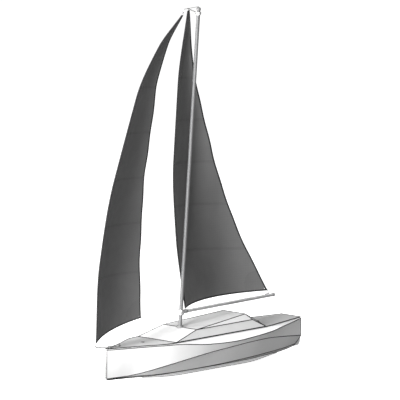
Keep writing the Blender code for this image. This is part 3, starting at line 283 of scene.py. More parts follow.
def coated(name, dark, light, patch, gloss, grain, depth, coat=0.0, metallic=0.0, ease=0.0, mirror=0.5):
    """Paint, moulding or casting: patches of colour, gloss between two values, and a grain of some depth."""
    material, tree, shader = new_finish(name)
    vector = placed(tree)
    patches = noise(tree, vector, patch, 4.0)
    tree.links.new(colours(tree, patches, ((0.3, dark), (0.7, light))), shader.inputs["Base Color"])
    shine = noise(tree, vector, patch * GLOSS_FINENESS)
    tree.links.new(spread(tree, shine, *gloss), shader.inputs["Roughness"])
    relief(tree, shader, noise(tree, vector, grain), depth, under=rounded(tree, ease) if ease else None)
    shader.inputs["Coat Weight"].default_value = coat
    shader.inputs["Metallic"].default_value = metallic
    shader.inputs["Specular IOR Level"].default_value = mirror
    return material


finishes = {}
print("helpers ready")

# %% [markdown]
# The hull is a moulding with a white gelcoat: glossy, hard, and never quite flat, with a faint orange
# peel a few millimetres across. The deck and the coachroof are sprayed a satin grey. The ballast
# keel is a casting painted the white of the hull, and rougher than the moulding. The ballast inside
# the hull is bare metal.

# %% Paint on the hull, the deck and the keel
finishes["hull_white"] = coated(
    "white gelcoat", (0.83, 0.83, 0.83), (0.90, 0.90, 0.90), 9, (0.30, 0.40), 420, 0.00003, coat=0.05,
    mirror=0.3)
finishes["deck_grey"] = coated(
    "satin deck paint", (0.56, 0.56, 0.56), (0.62, 0.62, 0.62), 22, (0.45, 0.6), 1500, 0.00005, mirror=0.25)
finishes["roof_grey"] = coated(
    "satin roof paint", (0.66, 0.66, 0.66), (0.71, 0.71, 0.71), 18, (0.38, 0.5), 900, 0.00003, mirror=0.25)
finishes["keel_paint"] = coated(
    "keel paint", (0.84, 0.84, 0.84), (0.90, 0.90, 0.90), 60, (0.5, 0.7), 800, 0.00009, mirror=0.25)
finishes["ballast_grey"] = coated(
    "cast ballast", (0.15, 0.15, 0.16), (0.24, 0.24, 0.26), 90, (0.5, 0.75), 350, 0.0004, metallic=0.6)
print("paints:", len(finishes))

# %% [markdown]
# Inside the boat are moulded plastics, rubber and plywood, and grey nylon caps and clamps hold the
# rig. Moulded plastic shows a spark-eroded grain and softly rounded edges, which the shader's bevel
# gives without any geometry. Rubber is duller and blooms grey.

# %% Plastics, rubber and wrap
finishes["black_plastic"] = coated(
    "moulded black nylon", (0.018, 0.018, 0.019), (0.030, 0.030, 0.031), 120, (0.42, 0.58), 2600, 0.00003,
    ease=0.0003)
finishes["servo_black"] = coated(
    "servo case", (0.022, 0.022, 0.024), (0.034, 0.034, 0.037), 150, (0.35, 0.5), 3200, 0.00003, ease=0.0004)
finishes["seal_rubber"] = coated(
    "black rubber", (0.014, 0.014, 0.014), (0.032, 0.032, 0.031), 70, (0.7, 0.88), 1100, 0.00006,
    ease=0.0003)
finishes["battery_wrap"] = coated(
    "shrink wrap", (0.03, 0.08, 0.26), (0.06, 0.14, 0.40), 40, (0.22, 0.38), 160, 0.0003, ease=0.0008)
grey_nylon = coated(
    "moulded grey nylon", (0.14, 0.14, 0.14), (0.18, 0.18, 0.18), 120, (0.42, 0.58), 2600, 0.00003,
    ease=0.0003)
print("finishes so far:", len(finishes))

# %% [markdown]
# Drawn metal carries fine lines along its length. They come from noise that is stretched hard one
# way, so the mast and the boom each need their own, and the lines drive the gloss as well as the
# relief. The boom is bare. The mast's dull dark grey is painted shade, far darker than its metal, and
# its finish is only partly metallic, so that it mirrors little of the white room.

# %% Metals
def drawn_metal(name, dark, light, stretch, gloss, line=900, depth=0.00002, metallic=1.0):
    material, tree, shader = new_finish(name)
    vector = placed(tree, stretch)
    lines = noise(tree, vector, line, 2.0)
    tree.links.new(colours(tree, lines, ((0.35, dark), (0.65, light))), shader.inputs["Base Color"])
    tree.links.new(spread(tree, lines, *gloss), shader.inputs["Roughness"])
    relief(tree, shader, lines, depth)
    shader.inputs["Metallic"].default_value = metallic
    return material


# The mast's dark grey is painted shade, darker than the tube's own metal, so that its lit face stays dim.
mast_painted_shade_finish = drawn_metal(
    "mast tube with painted shade", (0.13, 0.13, 0.132), (0.17, 0.17, 0.172), (1, 1, 0.01), (0.5, 0.65), metallic=0.3)
boom_finish = drawn_metal(
    "drawn boom tube", (0.54, 0.54, 0.545), (0.64, 0.64, 0.645), (0.01, 1, 1), (0.28, 0.42))
finishes["spar_aluminium"] = mast_painted_shade_finish
finishes["stainless_steel"] = drawn_metal(
    "stainless wire", (0.50, 0.50, 0.50), (0.64, 0.64, 0.64), (1, 1, 0.08), (0.18, 0.34), 1400)
print("metals:", mast_painted_shade_finish.name, boom_finish.name)

# %% [markdown]
# Birch plywood has a straggling grain along the sheet and darker flecks. Two noises, both drawn out
# along the boat, make the figure and the pores, and the colour ramp keeps to a few close browns.

# %% Plywood
plywood, ply_tree, ply_shader = new_finish("birch plywood")
ply_vector = placed(ply_tree, (0.06, 1, 1))
figure = noise(ply_tree, ply_vector, 160, 6.0)
birch = ((0.32, (0.42, 0.28, 0.15)), (0.5, (0.56, 0.40, 0.23)), (0.68, (0.66, 0.50, 0.31)))
ply_tree.links.new(colours(ply_tree, figure, birch), ply_shader.inputs["Base Color"])
ply_tree.links.new(spread(ply_tree, figure, 0.7, 0.5), ply_shader.inputs["Roughness"])
relief(ply_tree, ply_shader, noise(ply_tree, ply_vector, 900), 0.0001)
finishes["plywood"] = plywood
print("finishes so far:", len(finishes))

# %% [markdown]
# Sailcloth for a model this size is a thin coated polyester. Its weave is finer than a millimetre,
# with a heavier thread every six millimetres that stops a tear. The pattern has to follow the cloth,
# so it reads the sail's own map, which is laid out in metres along the foot and up the luff.

# %% Sailcloth
WEAVE_PITCH = 0.0007
WEAVE_START = 0.3  # how high in the wave a thread begins: a high start makes it thin
RIPSTOP_PITCH = 0.006
RIPSTOP_START = 0.93
WAVE_RATE = 20  # the texture's own factor: so many radians in one unit
WEAVE_RELIEF = (0.00003, 0.6)  # depth and strength
RIPSTOP_RELIEF = (0.00006, 0.8)
RIPSTOP_SHARE = 0.35  # of the thread's own colour
TONE_SCALE = 14
SHINE_SCALE = 60
CLOTH_GLOSS = (0.5, 0.66)
CLOTH_MIRROR = 0.12
CLOTH_SHEEN = 0.03
SHEEN_WIDTH = 0.4


def threads(tree, vector, pitch, direction, start):
    """Thin bright lines a pitch apart, running across one direction of the map."""
    wave = tree.nodes.new("ShaderNodeTexWave")
    wave.bands_direction = direction
    wave.inputs["Scale"].default_value = 2 * math.pi / (WAVE_RATE * pitch)
    wave.inputs["Distortion"].default_value = 0.0
    tree.links.new(vector, wave.inputs["Vector"])
    return spread(tree, wave.outputs["Fac"], 0.0, 1.0, start, 1.0)


def larger(tree, first, second):
    node = tree.nodes.new("ShaderNodeMath")
    node.operation = "MAXIMUM"
    tree.links.new(first, node.inputs[0])
    tree.links.new(second, node.inputs[1])
    return node.outputs[0]


def crossed(tree, vector, pitch, start):
    """Threads that run both ways, one over the other."""
    across = threads(tree, vector, pitch, "X", start)
    return larger(tree, across, threads(tree, vector, pitch, "Y", start))


def mixed(tree, factor, first, second, share):
    """The first colour, with up to a share of the second where the factor is high."""
    amount = spread(tree, factor, 0.0, share, 0.0, 1.0)
    node = tree.nodes.new("ShaderNodeMix")
    node.data_type = "RGBA"
    tree.links.new(amount, node.inputs["Factor"])
    tree.links.new(first, node.inputs["A"])
    node.inputs["B"].default_value = (*second, 1)
    return node.outputs["Result"]


def sailcloth(name, dark, light, thread):
    material, tree, shader = new_finish(name)
    vector = placed(tree, source="UV")
    weave = crossed(tree, vector, WEAVE_PITCH, WEAVE_START)
    ripstop = crossed(tree, vector, RIPSTOP_PITCH, RIPSTOP_START)
    tone = colours(tree, noise(tree, vector, TONE_SCALE, 4.0), ((0.3, dark), (0.7, light)))
    tree.links.new(mixed(tree, ripstop, tone, thread, RIPSTOP_SHARE), shader.inputs["Base Color"])
    shine = spread(tree, noise(tree, vector, SHINE_SCALE), *CLOTH_GLOSS)
    tree.links.new(shine, shader.inputs["Roughness"])
    fine = relief(tree, shader, weave, *WEAVE_RELIEF)
    relief(tree, shader, ripstop, *RIPSTOP_RELIEF, under=fine)
    shader.inputs["Specular IOR Level"].default_value = CLOTH_MIRROR
    shader.inputs["Sheen Weight"].default_value = CLOTH_SHEEN
    shader.inputs["Sheen Roughness"].default_value = SHEEN_WIDTH
    return material


cloth = sailcloth("grey sailcloth", (0.128, 0.128, 0.128), (0.144, 0.144, 0.144), (0.16, 0.16, 0.16))
tape_cloth = sailcloth("dark edge tape", (0.022, 0.022, 0.023), (0.034, 0.034, 0.035), (0.04, 0.04, 0.04))
patch_cloth = sailcloth(
    "doubled sailcloth", (0.120, 0.120, 0.120), (0.136, 0.136, 0.136), (0.15, 0.15, 0.15))
finishes["sail_grey"] = cloth
thread_finish = coated(
    "waxed thread", (0.05, 0.05, 0.05), (0.09, 0.09, 0.09), 900, (0.5, 0.7), 4000, 0.00003)
eyelet_finish = coated(
    "nickel eyelet", (0.42, 0.42, 0.42), (0.55, 0.55, 0.54), 300, (0.2, 0.35), 2500, 0.00002, metallic=1.0)
lining_finish = coated(
    "black lining", (0.008, 0.008, 0.008), (0.014, 0.014, 0.014), 200, (0.6, 0.8), 2200, 0.00003, mirror=0.1)
print("sail finishes:", cloth.name, tape_cloth.name, patch_cloth.name)

# %% [markdown]
# Every piece of the frame names its finish in its material slot, so the finishes go on by those
# names. The boom and its gooseneck share the finish drawn along the boom, and the small fittings
# outside are grey nylon.

# %% Put the finishes on the frame's pieces
NYLON_PIECES = (
    "mast_collar", "mast_cap", "boom_front_cap", "boom_end_cap", "sprit_clamp_front", "sprit_clamp_rear",
    "jib_sheet_exit", "main_sheet_exit",
)

for name, obj in nodes.items():
    for slot in obj.material_slots:
        slot.material = finishes[slot.material.name.split(".")[0]]
for name in ("boom", "gooseneck"):
    nodes[name].material_slots[0].material = boom_finish
for name in NYLON_PIECES:
    nodes[name].material_slots[0].material = grey_nylon
print("finished pieces:", len(nodes))

# %% [markdown]
# ## The lines that the sails are cut to
# A sail is drawn as a stack of chords. Each row of the plan says where the chord starts, how long it
# is and how far it swings to leeward, and a smooth curve runs through the rows from tack to head.
# The belly is a parabola across each chord. Both sails hang on a thin rod: the mainsail's follows
# the raked mast, and the jib's runs from the bowsprit to the masthead.

# %% Places on the boat
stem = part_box("hull_shell")[1].x
deck_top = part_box("deck")[1].z
MAST_AFT, MAST_UP = 0.260, 0.0206  # where the mast leaves the coachroof
MAST_RAKE = math.radians(4.87)
MAIN_TACK_UP, MAIN_HEAD_UP = 0.0645, 0.784
JIB_TACK, JIB_HEAD = (-0.034, 0.019), (0.267, 0.779)  # aft of the stem, above the deck
ROD_RADIUS = 0.0009
LUFF_OFFSET = 0.0017  # from the rod's axis to the edge of the cloth


def at(aft, port, up):
    return Vector((stem - aft, port, deck_top + up))


def mast_at_height(up):
    above = up - MAST_UP
    return at(MAST_AFT, 0, MAST_UP) + Vector((-math.tan(MAST_RAKE) * above, 0, above))


print("masthead at", [round(value, 3) for value in mast_at_height(MAIN_HEAD_UP)])

# %% The sail plans
# height share, luff forward, luff to starboard, chord, angle of the chord in degrees
MAIN_PLAN = (
    (0.00, -0.0150, 0.0000, 0.316, 4.7),
    (0.25, 0.0145, 0.0170, 0.234, 6.8),
    (0.50, 0.0266, 0.0270, 0.159, 8.5),
    (0.75, 0.0270, 0.0270, 0.076, 10.3),
    (1.00, 0.0177, 0.0180, 0.005, 12.0),
)
JIB_PLAN = (
    (0.00, 0.0000, 0.0000, 0.212, 13.1),
    (0.25, 0.0305, 0.0284, 0.197, 14.0),
    (0.50, 0.0427, 0.0398, 0.155, 14.7),
    (0.75, 0.0418, 0.0391, 0.098, 15.3),
    (0.90, 0.0264, 0.0247, 0.050, 15.7),
    (1.00, 0.0000, 0.0000, 0.005, 16.0),
)


def through(knots, values, x):
    """A smooth curve through the values that never overshoots them."""
    x = min(max(x, knots[0]), knots[-1])
    spans = [b - a for a, b in zip(knots, knots[1:])]
    secants = [(b - a) / span for a, b, span in zip(values, values[1:], spans)]
    slopes = [secants[0]]
    for left, right in zip(secants, secants[1:]):
        slopes.append(2 * left * right / (left + right) if left * right > 0 else 0.0)
    slopes.append(secants[-1])
    i = 0
    while i < len(spans) - 1 and x > knots[i + 1]:
        i += 1
    s = (x - knots[i]) / spans[i]
    start = (1 + 2 * s) * (1 - s) ** 2 * values[i] + s * (1 - s) ** 2 * spans[i] * slopes[i]
    end = s * s * (3 - 2 * s) * values[i + 1] + s * s * (s - 1) * spans[i] * slopes[i + 1]
    return start + end


def plan_value(plan, column, share):
    return through([row[0] for row in plan], [row[column] for row in plan], share)


print("mainsail foot:", plan_value(MAIN_PLAN, 3, 0), "jib foot:", plan_value(JIB_PLAN, 3, 0))

# %% [markdown]
# A class keeps what one sail needs together: its plan, the line it hangs on, its belly and its body.
# Every tape, patch and stitch asks the same `point` for its place, so they all lie on the cloth
# however it curves. The leech of a soft sail also flutters a little, so the cloth ripples by a
# fraction of a millimetre there.

# %% One sail
FLUTTER = 0.0007
FLUTTER_WAVES = 7
FLUTTER_POWER = 5  # how closely the ripple keeps to the leech
FLUTTER_CHORD = 0.1  # below this chord the ripple dies away towards the head
MAIN_CAMBER = 0.136  # the belly's depth, of the chord
JIB_CAMBER = 0.085
MAIN_RISE = 0.0
JIB_RISE = 0.136  # how far the clew stands above the tack, of the foot


class Sail:
    def __init__(self, name, node, body, plan, low, high, camber, rise):
        self.name, self.node, self.body, self.plan = name, node, body, plan
        self.low, self.high, self.camber, self.rise = low, high, camber, rise
        self.height = (high - low).length

    def luff(self, share):
        """The rod's axis at a share of the height."""
        forward = plan_value(self.plan, 1, share)
        starboard = plan_value(self.plan, 2, share)
        return self.low.lerp(self.high, share) + Vector((forward, -starboard, 0))

    def chord(self, share):
        return plan_value(self.plan, 3, share)

    def point(self, share, along, side=0.0):
        """A point of the cloth, or one off its surface to starboard by `side`."""
        chord = self.chord(share)
        angle = math.radians(plan_value(self.plan, 4, share))
        aft = Vector((-math.cos(angle), -math.sin(angle), self.rise * (1 - share)))
        lee = Vector((math.sin(angle), -math.cos(angle), 0))
        belly = 4 * along * (1 - along) * self.camber * chord
        flutter = (
            FLUTTER * math.sin(share * FLUTTER_WAVES * 2 * math.pi)
            * max(along, 0) ** FLUTTER_POWER * min(1, chord / FLUTTER_CHORD))
        start = self.luff(share) + aft.normalized() * LUFF_OFFSET
        return start + aft * (along * chord) + lee * (belly + flutter + side)

    def normal(self, share, along):
        step = 0.002
        across = self.point(share, along + step) - self.point(share, along - step)
        up = self.point(min(share + step, 1), along) - self.point(max(share - step, 0), along)
        return across.cross(up).normalized()


mainsail = Sail(
    "mainsail", "main_sail", "main_rig", MAIN_PLAN,
    mast_at_height(MAIN_TACK_UP), mast_at_height(MAIN_HEAD_UP), MAIN_CAMBER, MAIN_RISE)
jib = Sail(
    "jib", "jib_sail", "jib", JIB_PLAN,
    at(JIB_TACK[0], 0, JIB_TACK[1]), at(JIB_HEAD[0], 0, JIB_HEAD[1]), JIB_CAMBER, JIB_RISE)
SAILS = (mainsail, jib)
print("luffs:", round(mainsail.height, 3), round(jib.height, 3), "m")

# %% [markdown]
# ## Cloth, tapes and patches
# Every piece of cloth is a grid laid on the sail and given its thickness by Solidify. A tape that is
# folded round an edge is the same grid, only thicker than the cloth, so that it wraps it on both
# faces. The grid carries a map in metres, which is what the weave reads.

# %% Cloth helpers
CLOTH_THICKNESS = 0.0004
SEAM_THICKNESS = 0.0006
PATCH_THICKNESS = 0.0008
TAPE_THICKNESS = 0.0011
CREASE_TURN = math.radians(40)


def new_object(name, mesh, finish, body):
    mesh.materials.clear()
    mesh.materials.append(finish)
    obj = bpy.data.objects.new(name, mesh)
    bpy.context.scene.collection.objects.link(obj)
    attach(obj, body)
    return obj


def solid_cloth(mesh, thickness):
    """The mesh with this thickness, half of it to each side, as a plain mesh."""
    helper = bpy.data.objects.new("helper", mesh)
    bpy.context.scene.collection.objects.link(helper)
    thicken = helper.modifiers.new("thickness", "SOLIDIFY")
    thicken.thickness = thickness
    thicken.offset = 0.0
    bpy.context.view_layer.update()
    graph = bpy.context.evaluated_depsgraph_get()
    result = bpy.data.meshes.new_from_object(helper.evaluated_get(graph))
    bpy.data.objects.remove(helper)
    result.shade_smooth()
    result.set_sharp_from_angle(angle=CREASE_TURN)
    return result


def cloth_mesh(sail, name, places, thickness):
    """Cloth over a grid of (share, along) places, given as rows."""
    columns = len(places[0])
    flat = [place for row in places for place in row]
    mesh = bpy.data.meshes.new(name)
    faces = [
        (r * columns + c, r * columns + c + 1, (r + 1) * columns + c + 1, (r + 1) * columns + c)
        for r in range(len(places) - 1) for c in range(columns - 1)
    ]
    mesh.from_pydata([sail.point(*place) for place in flat], [], faces)
    chart = mesh.uv_layers.new(name="cloth")
    for loop in mesh.loops:
        share, along = flat[loop.vertex_index]
        chart.data[loop.index].uv = (along * sail.chord(share), share * sail.height)
    return solid_cloth(mesh, thickness)


def steps(start, end, count):
    return [start + (end - start) * i / count for i in range(count + 1)]


print("a tape is", TAPE_THICKNESS * 1000, "mm thick over cloth of", CLOTH_THICKNESS * 1000, "mm")

# %% [markdown]
# The sail itself is one continuous curved sheet. Rows run up the luff and columns run across the
# chords.

# %% The two sails
CLOTH_ROWS = 110
CLOTH_COLUMNS = 30


def make_cloth(sail):
    places = [[(share, along) for along in steps(0, 1, CLOTH_COLUMNS)] for share in steps(0, 1, CLOTH_ROWS)]
    mesh = cloth_mesh(sail, sail.name + "_cloth", places, CLOTH_THICKNESS)
    obj = new_object(sail.name + "_cloth", mesh, cloth, sail.body)
    area = sum(face.area for face in mesh.polygons) / 2
    print(obj.name, "area", round(area, 4), "m2")
    return obj, area


cloths = {sail.name: make_cloth(sail) for sail in SAILS}

# %% [markdown]
# A sailmaker joins panels of cloth with lapped seams, square to the leech so that the weave takes the
# load. Each lap is a strip of doubled cloth. Laps, tapes and patches keep to the sail's own shares,
# so a strip of a given width in metres is that width divided by the chord or the height.

# %% Seams
SEAM_SHARES = (0.15, 0.31, 0.46, 0.61, 0.76)
SEAM_WIDTH = 0.006
SEAM_TILT = 0.045  # the luff end of a seam lies this share higher than the leech end
SEAM_ENDS = (0.002, 0.998)
SEAM_STEPS = 24


def seam_share(sail, middle, along, offset):
    return middle + SEAM_TILT * (1 - along) * sail.chord(middle) / sail.chord(0) + offset / sail.height


def make_seams(sail):
    meshes = []
    offsets = (-SEAM_WIDTH / 2, 0, SEAM_WIDTH / 2)
    for middle in SEAM_SHARES:
        places = [
            [(seam_share(sail, middle, along, offset), along) for offset in offsets]
            for along in steps(*SEAM_ENDS, SEAM_STEPS)
        ]
        meshes.append(cloth_mesh(sail, "seam", places, SEAM_THICKNESS))
    return meshes


def joined(name, meshes, finish, body):
    bm = bmesh.new()
    for mesh in meshes:
        bm.from_mesh(mesh)
    together = bpy.data.meshes.new(name)
    bm.to_mesh(together)
    bm.free()
    together.set_sharp_from_angle(angle=CREASE_TURN)
    return new_object(name, together, finish, body)


def on_both(suffix, make, finish):
    """For each sail, its meshes of one kind joined into one piece."""
    return {sail.name: joined(sail.name + suffix, make(sail), finish, sail.body) for sail in SAILS}


seams = on_both("_seams", make_seams, patch_cloth)
print("seams a sail:", len(SEAM_SHARES))

# %% [markdown]
# The corners carry the whole load, so they are doubled twice, with patches cut as a fan round the
# corner. At the head the sail is so narrow that the patch simply covers it from edge to edge.

# %% Corner patches
PATCH_RADII = (0.052, 0.034)
LAYER_STEP = 0.0002  # the second patch stands so much thicker, to show on top
FAN_START = 0.0005
FAN_TURNS = 10
FAN_RINGS = 8
HEAD_REACH = 1.3  # the head's patch is so much longer than a corner's
HEAD_TOP = 0.9995
HEAD_COLUMNS = 4


def fan(sail, radius, at_clew):
    """Places of a patch round the tack or the clew, out to a radius."""
    rows = []
    for turn in steps(0, math.pi / 2, FAN_TURNS):
        row = []
        for reach_out in steps(FAN_START, radius, FAN_RINGS):
            share = reach_out * math.sin(turn) / sail.height
            across = reach_out * math.cos(turn) / sail.chord(share)
            row.append((share, 1 - across if at_clew else across))
        rows.append(row)
    return rows


def make_patches(sail):
    meshes = []
    for layer, radius in enumerate(PATCH_RADII):
        thickness = PATCH_THICKNESS + layer * LAYER_STEP
        for at_clew in (False, True):
            meshes.append(cloth_mesh(sail, "patch", fan(sail, radius, at_clew), thickness))
        lowest = 1 - HEAD_REACH * radius / sail.height
        rows = steps(lowest, HEAD_TOP, FAN_RINGS)
        head = [[(share, along) for along in steps(0, 1, HEAD_COLUMNS)] for share in rows]
        meshes.append(cloth_mesh(sail, "head", head, thickness))
    return meshes


patches = on_both("_patches", make_patches, patch_cloth)
print("patches:", [obj.name for obj in patches.values()])

# %% [markdown]
# The leech and the foot are bound with a dark tape folded over the edge, and the luff is a sleeve
# that slides over the rod. The sleeve is a tube with a wall: two rings of points on every step up
# the rod, joined inside and out.

# %% Edge tapes and luff sleeves
TAPE_WIDTH = 0.0034
TAPE_OVER = 0.0003  # past the edge of the cloth
TAPE_LIMIT = 0.4  # near the head the leech tape covers at most the cloth aft of this share
FOOT_STEPS = 40
HEM_WIDTH = 0.0030
HEM_TOP = 0.96
HEM_STEPS = 100
SLEEVE_OUTER = 0.0018
SLEEVE_INNER = 0.00105
SLEEVE_SIDES = 14
SLEEVE_STEPS = 90
SLEEVE_NEAR = 0.01  # the share above and below that a ring's direction is taken from
SLEEVE_CREASE = math.radians(50)


def edge_tapes(sail):
    leech = []
    for share in steps(0, 1, CLOTH_ROWS):
        chord = sail.chord(share)
        inner = max(1 - TAPE_WIDTH / chord, TAPE_LIMIT)
        leech.append([(share, along) for along in (inner, (inner + 1) / 2, 1 + TAPE_OVER / chord)])
    foot = [[(up / sail.height, along) for up in (-TAPE_OVER, TAPE_WIDTH / 2, TAPE_WIDTH)]
            for along in steps(0, 1, FOOT_STEPS)]
    hem = [[(share, along / sail.chord(share)) for along in (-TAPE_OVER, HEM_WIDTH / 2, HEM_WIDTH)]
           for share in steps(0, HEM_TOP, HEM_STEPS)]
    return [cloth_mesh(sail, "tape", places, TAPE_THICKNESS) for places in (leech, foot, hem)]


def sleeve(sail):
    bm = bmesh.new()
    loops = []
    for share in steps(0.0, 1.0, SLEEVE_STEPS):
        centre = sail.luff(share)
        above = sail.luff(min(share + SLEEVE_NEAR, 1))
        below = sail.luff(max(share - SLEEVE_NEAR, 0))
        tangent = (above - below).normalized()
        side = tangent.cross(Vector((0, 1, 0))).normalized()
        other = tangent.cross(side)
        loops.append([
            [bm.verts.new(centre + (side * math.cos(turn) + other * math.sin(turn)) * radius)
             for turn in [2 * math.pi * i / SLEEVE_SIDES for i in range(SLEEVE_SIDES)]]
            for radius in (SLEEVE_OUTER, SLEEVE_INNER)
        ])
    for i in range(SLEEVE_SIDES):
        j = (i + 1) % SLEEVE_SIDES
        for (outer, inner), (next_outer, next_inner) in zip(loops, loops[1:]):
            bm.faces.new((outer[i], outer[j], next_outer[j], next_outer[i]))
            bm.faces.new((inner[j], inner[i], next_inner[i], next_inner[j]))
        for outer, inner in (loops[0], loops[-1]):
            bm.faces.new((outer[i], inner[i], inner[j], outer[j]))
    bmesh.ops.recalc_face_normals(bm, faces=bm.faces)
    chart = bm.loops.layers.uv.new("cloth")
    for face in bm.faces:
        for loop in face.loops:
            loop[chart].uv = (loop.vert.co.x + loop.vert.co.y, loop.vert.co.z)
    mesh = bpy.data.meshes.new(sail.name + "_sleeve")
    bm.to_mesh(mesh)
    bm.free()
    mesh.shade_smooth()
    mesh.set_sharp_from_angle(angle=SLEEVE_CREASE)
    return mesh


tapes = on_both("_tapes", edge_tapes, tape_cloth)
sleeves = {
    sail.name: new_object(sail.name + "_luff_sleeve", sleeve(sail), tape_cloth, sail.body) for sail in SAILS}
print("tapes and sleeves:", len(tapes) + len(sleeves))

# %% [markdown]
# ## Stitches, by Geometry Nodes
# A stitch is a grain of thread that goes through the cloth and shows on both faces. There are
# thousands, so a node tree lays them: the path becomes a curve, the curve becomes points at the pitch
# of the machine, and each point gets one grain, turned to lie along the path and square to the cloth.
# Every second grain is turned the other way, which makes a zigzag. The path carries the cloth's
# normal in an attribute called lay.

# %% Tree helpers
def new_tree(name, sizes):
    tree = bpy.data.node_groups.new(name, "GeometryNodeTree")
    tree.is_modifier = True
    tree.interface.new_socket(name="Geometry", in_out="INPUT", socket_type="NodeSocketGeometry")
    for size in sizes:
        tree.interface.new_socket(name=size, in_out="INPUT", socket_type="NodeSocketFloat")
    tree.interface.new_socket(name="Finish", in_out="INPUT", socket_type="NodeSocketMaterial")
    tree.interface.new_socket(name="Geometry", in_out="OUTPUT", socket_type="NodeSocketGeometry")
    return tree, tree.nodes.new("NodeGroupInput")


def step_node(tree, kind, wires=(), **settings):
    """A node with its settings, and its inputs wired from (input, output) pairs."""
    node = tree.nodes.new(kind)
    for name, value in settings.items():
        setattr(node, name, value)
    for name, source in wires:
        tree.links.new(source, node.inputs[name])
    return node


def finish_tree(tree, given, geometry):
    real = step_node(tree, "GeometryNodeRealizeInstances", [("Geometry", geometry)])
    painted = step_node(
        tree, "GeometryNodeSetMaterial",
        [("Geometry", real.outputs[0]), ("Material", given.outputs["Finish"])])
    out = tree.nodes.new("NodeGroupOutput")
    tree.links.new(painted.outputs[0], out.inputs["Geometry"])


def grown(name, path, tree, values, finish, body):
    """What a tree grows from a path mesh, as a plain mesh object on its body."""
    helper = bpy.data.objects.new("helper", path)
    bpy.context.scene.collection.objects.link(helper)
    modifier = helper.modifiers.new("grow", "NODES")
    modifier.node_group = tree
    for socket in tree.interface.items_tree:
        if socket.in_out == "INPUT" and socket.name in values:
            modifier[socket.identifier] = values[socket.name]
        if socket.in_out == "INPUT" and socket.name == "Finish":
            modifier[socket.identifier] = finish
    bpy.context.view_layer.update()
    graph = bpy.context.evaluated_depsgraph_get()
    mesh = bpy.data.meshes.new_from_object(helper.evaluated_get(graph))
    bpy.data.objects.remove(helper)
    obj = new_object(name, mesh, finish, body)
    print(name, "faces", len(mesh.polygons))
    return obj


print("tree helpers ready")

# %% The stitch tree
stitch_tree, given = new_tree("stitches", ("Pitch", "Length", "Width", "Depth", "Zigzag"))
run = step_node(stitch_tree, "GeometryNodeMeshToCurve", [("Mesh", given.outputs["Geometry"])])
spots = step_node(
    stitch_tree, "GeometryNodeCurveToPoints",
    [("Curve", run.outputs[0]), ("Length", given.outputs["Pitch"])], mode="LENGTH")
lay = step_node(stitch_tree, "GeometryNodeInputNamedAttribute", data_type="FLOAT_VECTOR")
lay.inputs["Name"].default_value = "lay"
facing = step_node(
    stitch_tree, "FunctionNodeAxesToRotation",
    [("Primary Axis", lay.outputs["Attribute"]), ("Secondary Axis", spots.outputs["Tangent"])],
    primary_axis="Z", secondary_axis="X")
odd = step_node(
    stitch_tree, "ShaderNodeMath", [(0, stitch_tree.nodes.new("GeometryNodeInputIndex").outputs[0])],
    operation="MODULO")
odd.inputs[1].default_value = 2
swing = step_node(stitch_tree, "ShaderNodeMath", [(0, odd.outputs[0])], operation="SUBTRACT")
swing.inputs[1].default_value = 0.5
turn = step_node(
    stitch_tree, "ShaderNodeMath",
    [(0, swing.outputs[0]), (1, given.outputs["Zigzag"])], operation="MULTIPLY")
twist = step_node(
    stitch_tree, "FunctionNodeEulerToRotation",
    [("Euler", step_node(stitch_tree, "ShaderNodeCombineXYZ", [("Z", turn.outputs[0])]).outputs[0])])
turned = step_node(
    stitch_tree, "FunctionNodeRotateRotation",
    [("Rotation", facing.outputs[0]), ("Rotate By", twist.outputs[0])], rotation_space="LOCAL")
grain = step_node(stitch_tree, "GeometryNodeMeshUVSphere")
grain.inputs["Segments"].default_value = 6
grain.inputs["Rings"].default_value = 4
grain.inputs["Radius"].default_value = 0.5  # one unit across, so that the scale is the grain's size
shape = step_node(
    stitch_tree, "ShaderNodeCombineXYZ",
    [("X", given.outputs["Length"]), ("Y", given.outputs["Width"]), ("Z", given.outputs["Depth"])])
laid = step_node(
    stitch_tree, "GeometryNodeInstanceOnPoints",
    [("Points", spots.outputs["Points"]), ("Instance", grain.outputs["Mesh"]),
     ("Rotation", turned.outputs[0]), ("Scale", shape.outputs[0])])
finish_tree(stitch_tree, given, laid.outputs["Instances"])
print("stitch tree nodes:", len(stitch_tree.nodes))

# %% [markdown]
# The stitch rows run where a machine would sew: two along every seam, one inside each tape, one
# inside the luff hem and one round the rim of every patch at the tack and the clew.

# %% Sew the sails
STITCH = {"Pitch": 0.0026, "Length": 0.0022, "Width": 0.00032, "Depth": 0.0014, "Zigzag": math.radians(60)}
ROW_INSET = 0.0014
# Where each row starts and stops, short of the corners, and in how many steps.
SEAM_ROW = steps(0.02, 0.98, SEAM_STEPS)
LEECH_ROW = steps(0.01, 0.96, 80)
FOOT_ROW = steps(0.01, 0.99, FOOT_STEPS)
LUFF_ROW = steps(0.01, 0.95, 80)


def path_mesh(name, sail, rows):
    """Edges along rows of (share, along) places, with the cloth's normal on every point."""
    points, edges, normals = [], [], []
    for row in rows:
        for i, place in enumerate(row):
            if i:
                edges.append((len(points) - 1, len(points)))
            points.append(sail.point(*place))
            normals.append(sail.normal(*place))
    mesh = bpy.data.meshes.new(name)
    mesh.from_pydata(points, edges, [])
    attribute = mesh.attributes.new("lay", "FLOAT_VECTOR", "POINT")
    attribute.data.foreach_set("vector", [value for normal in normals for value in normal])
    return mesh


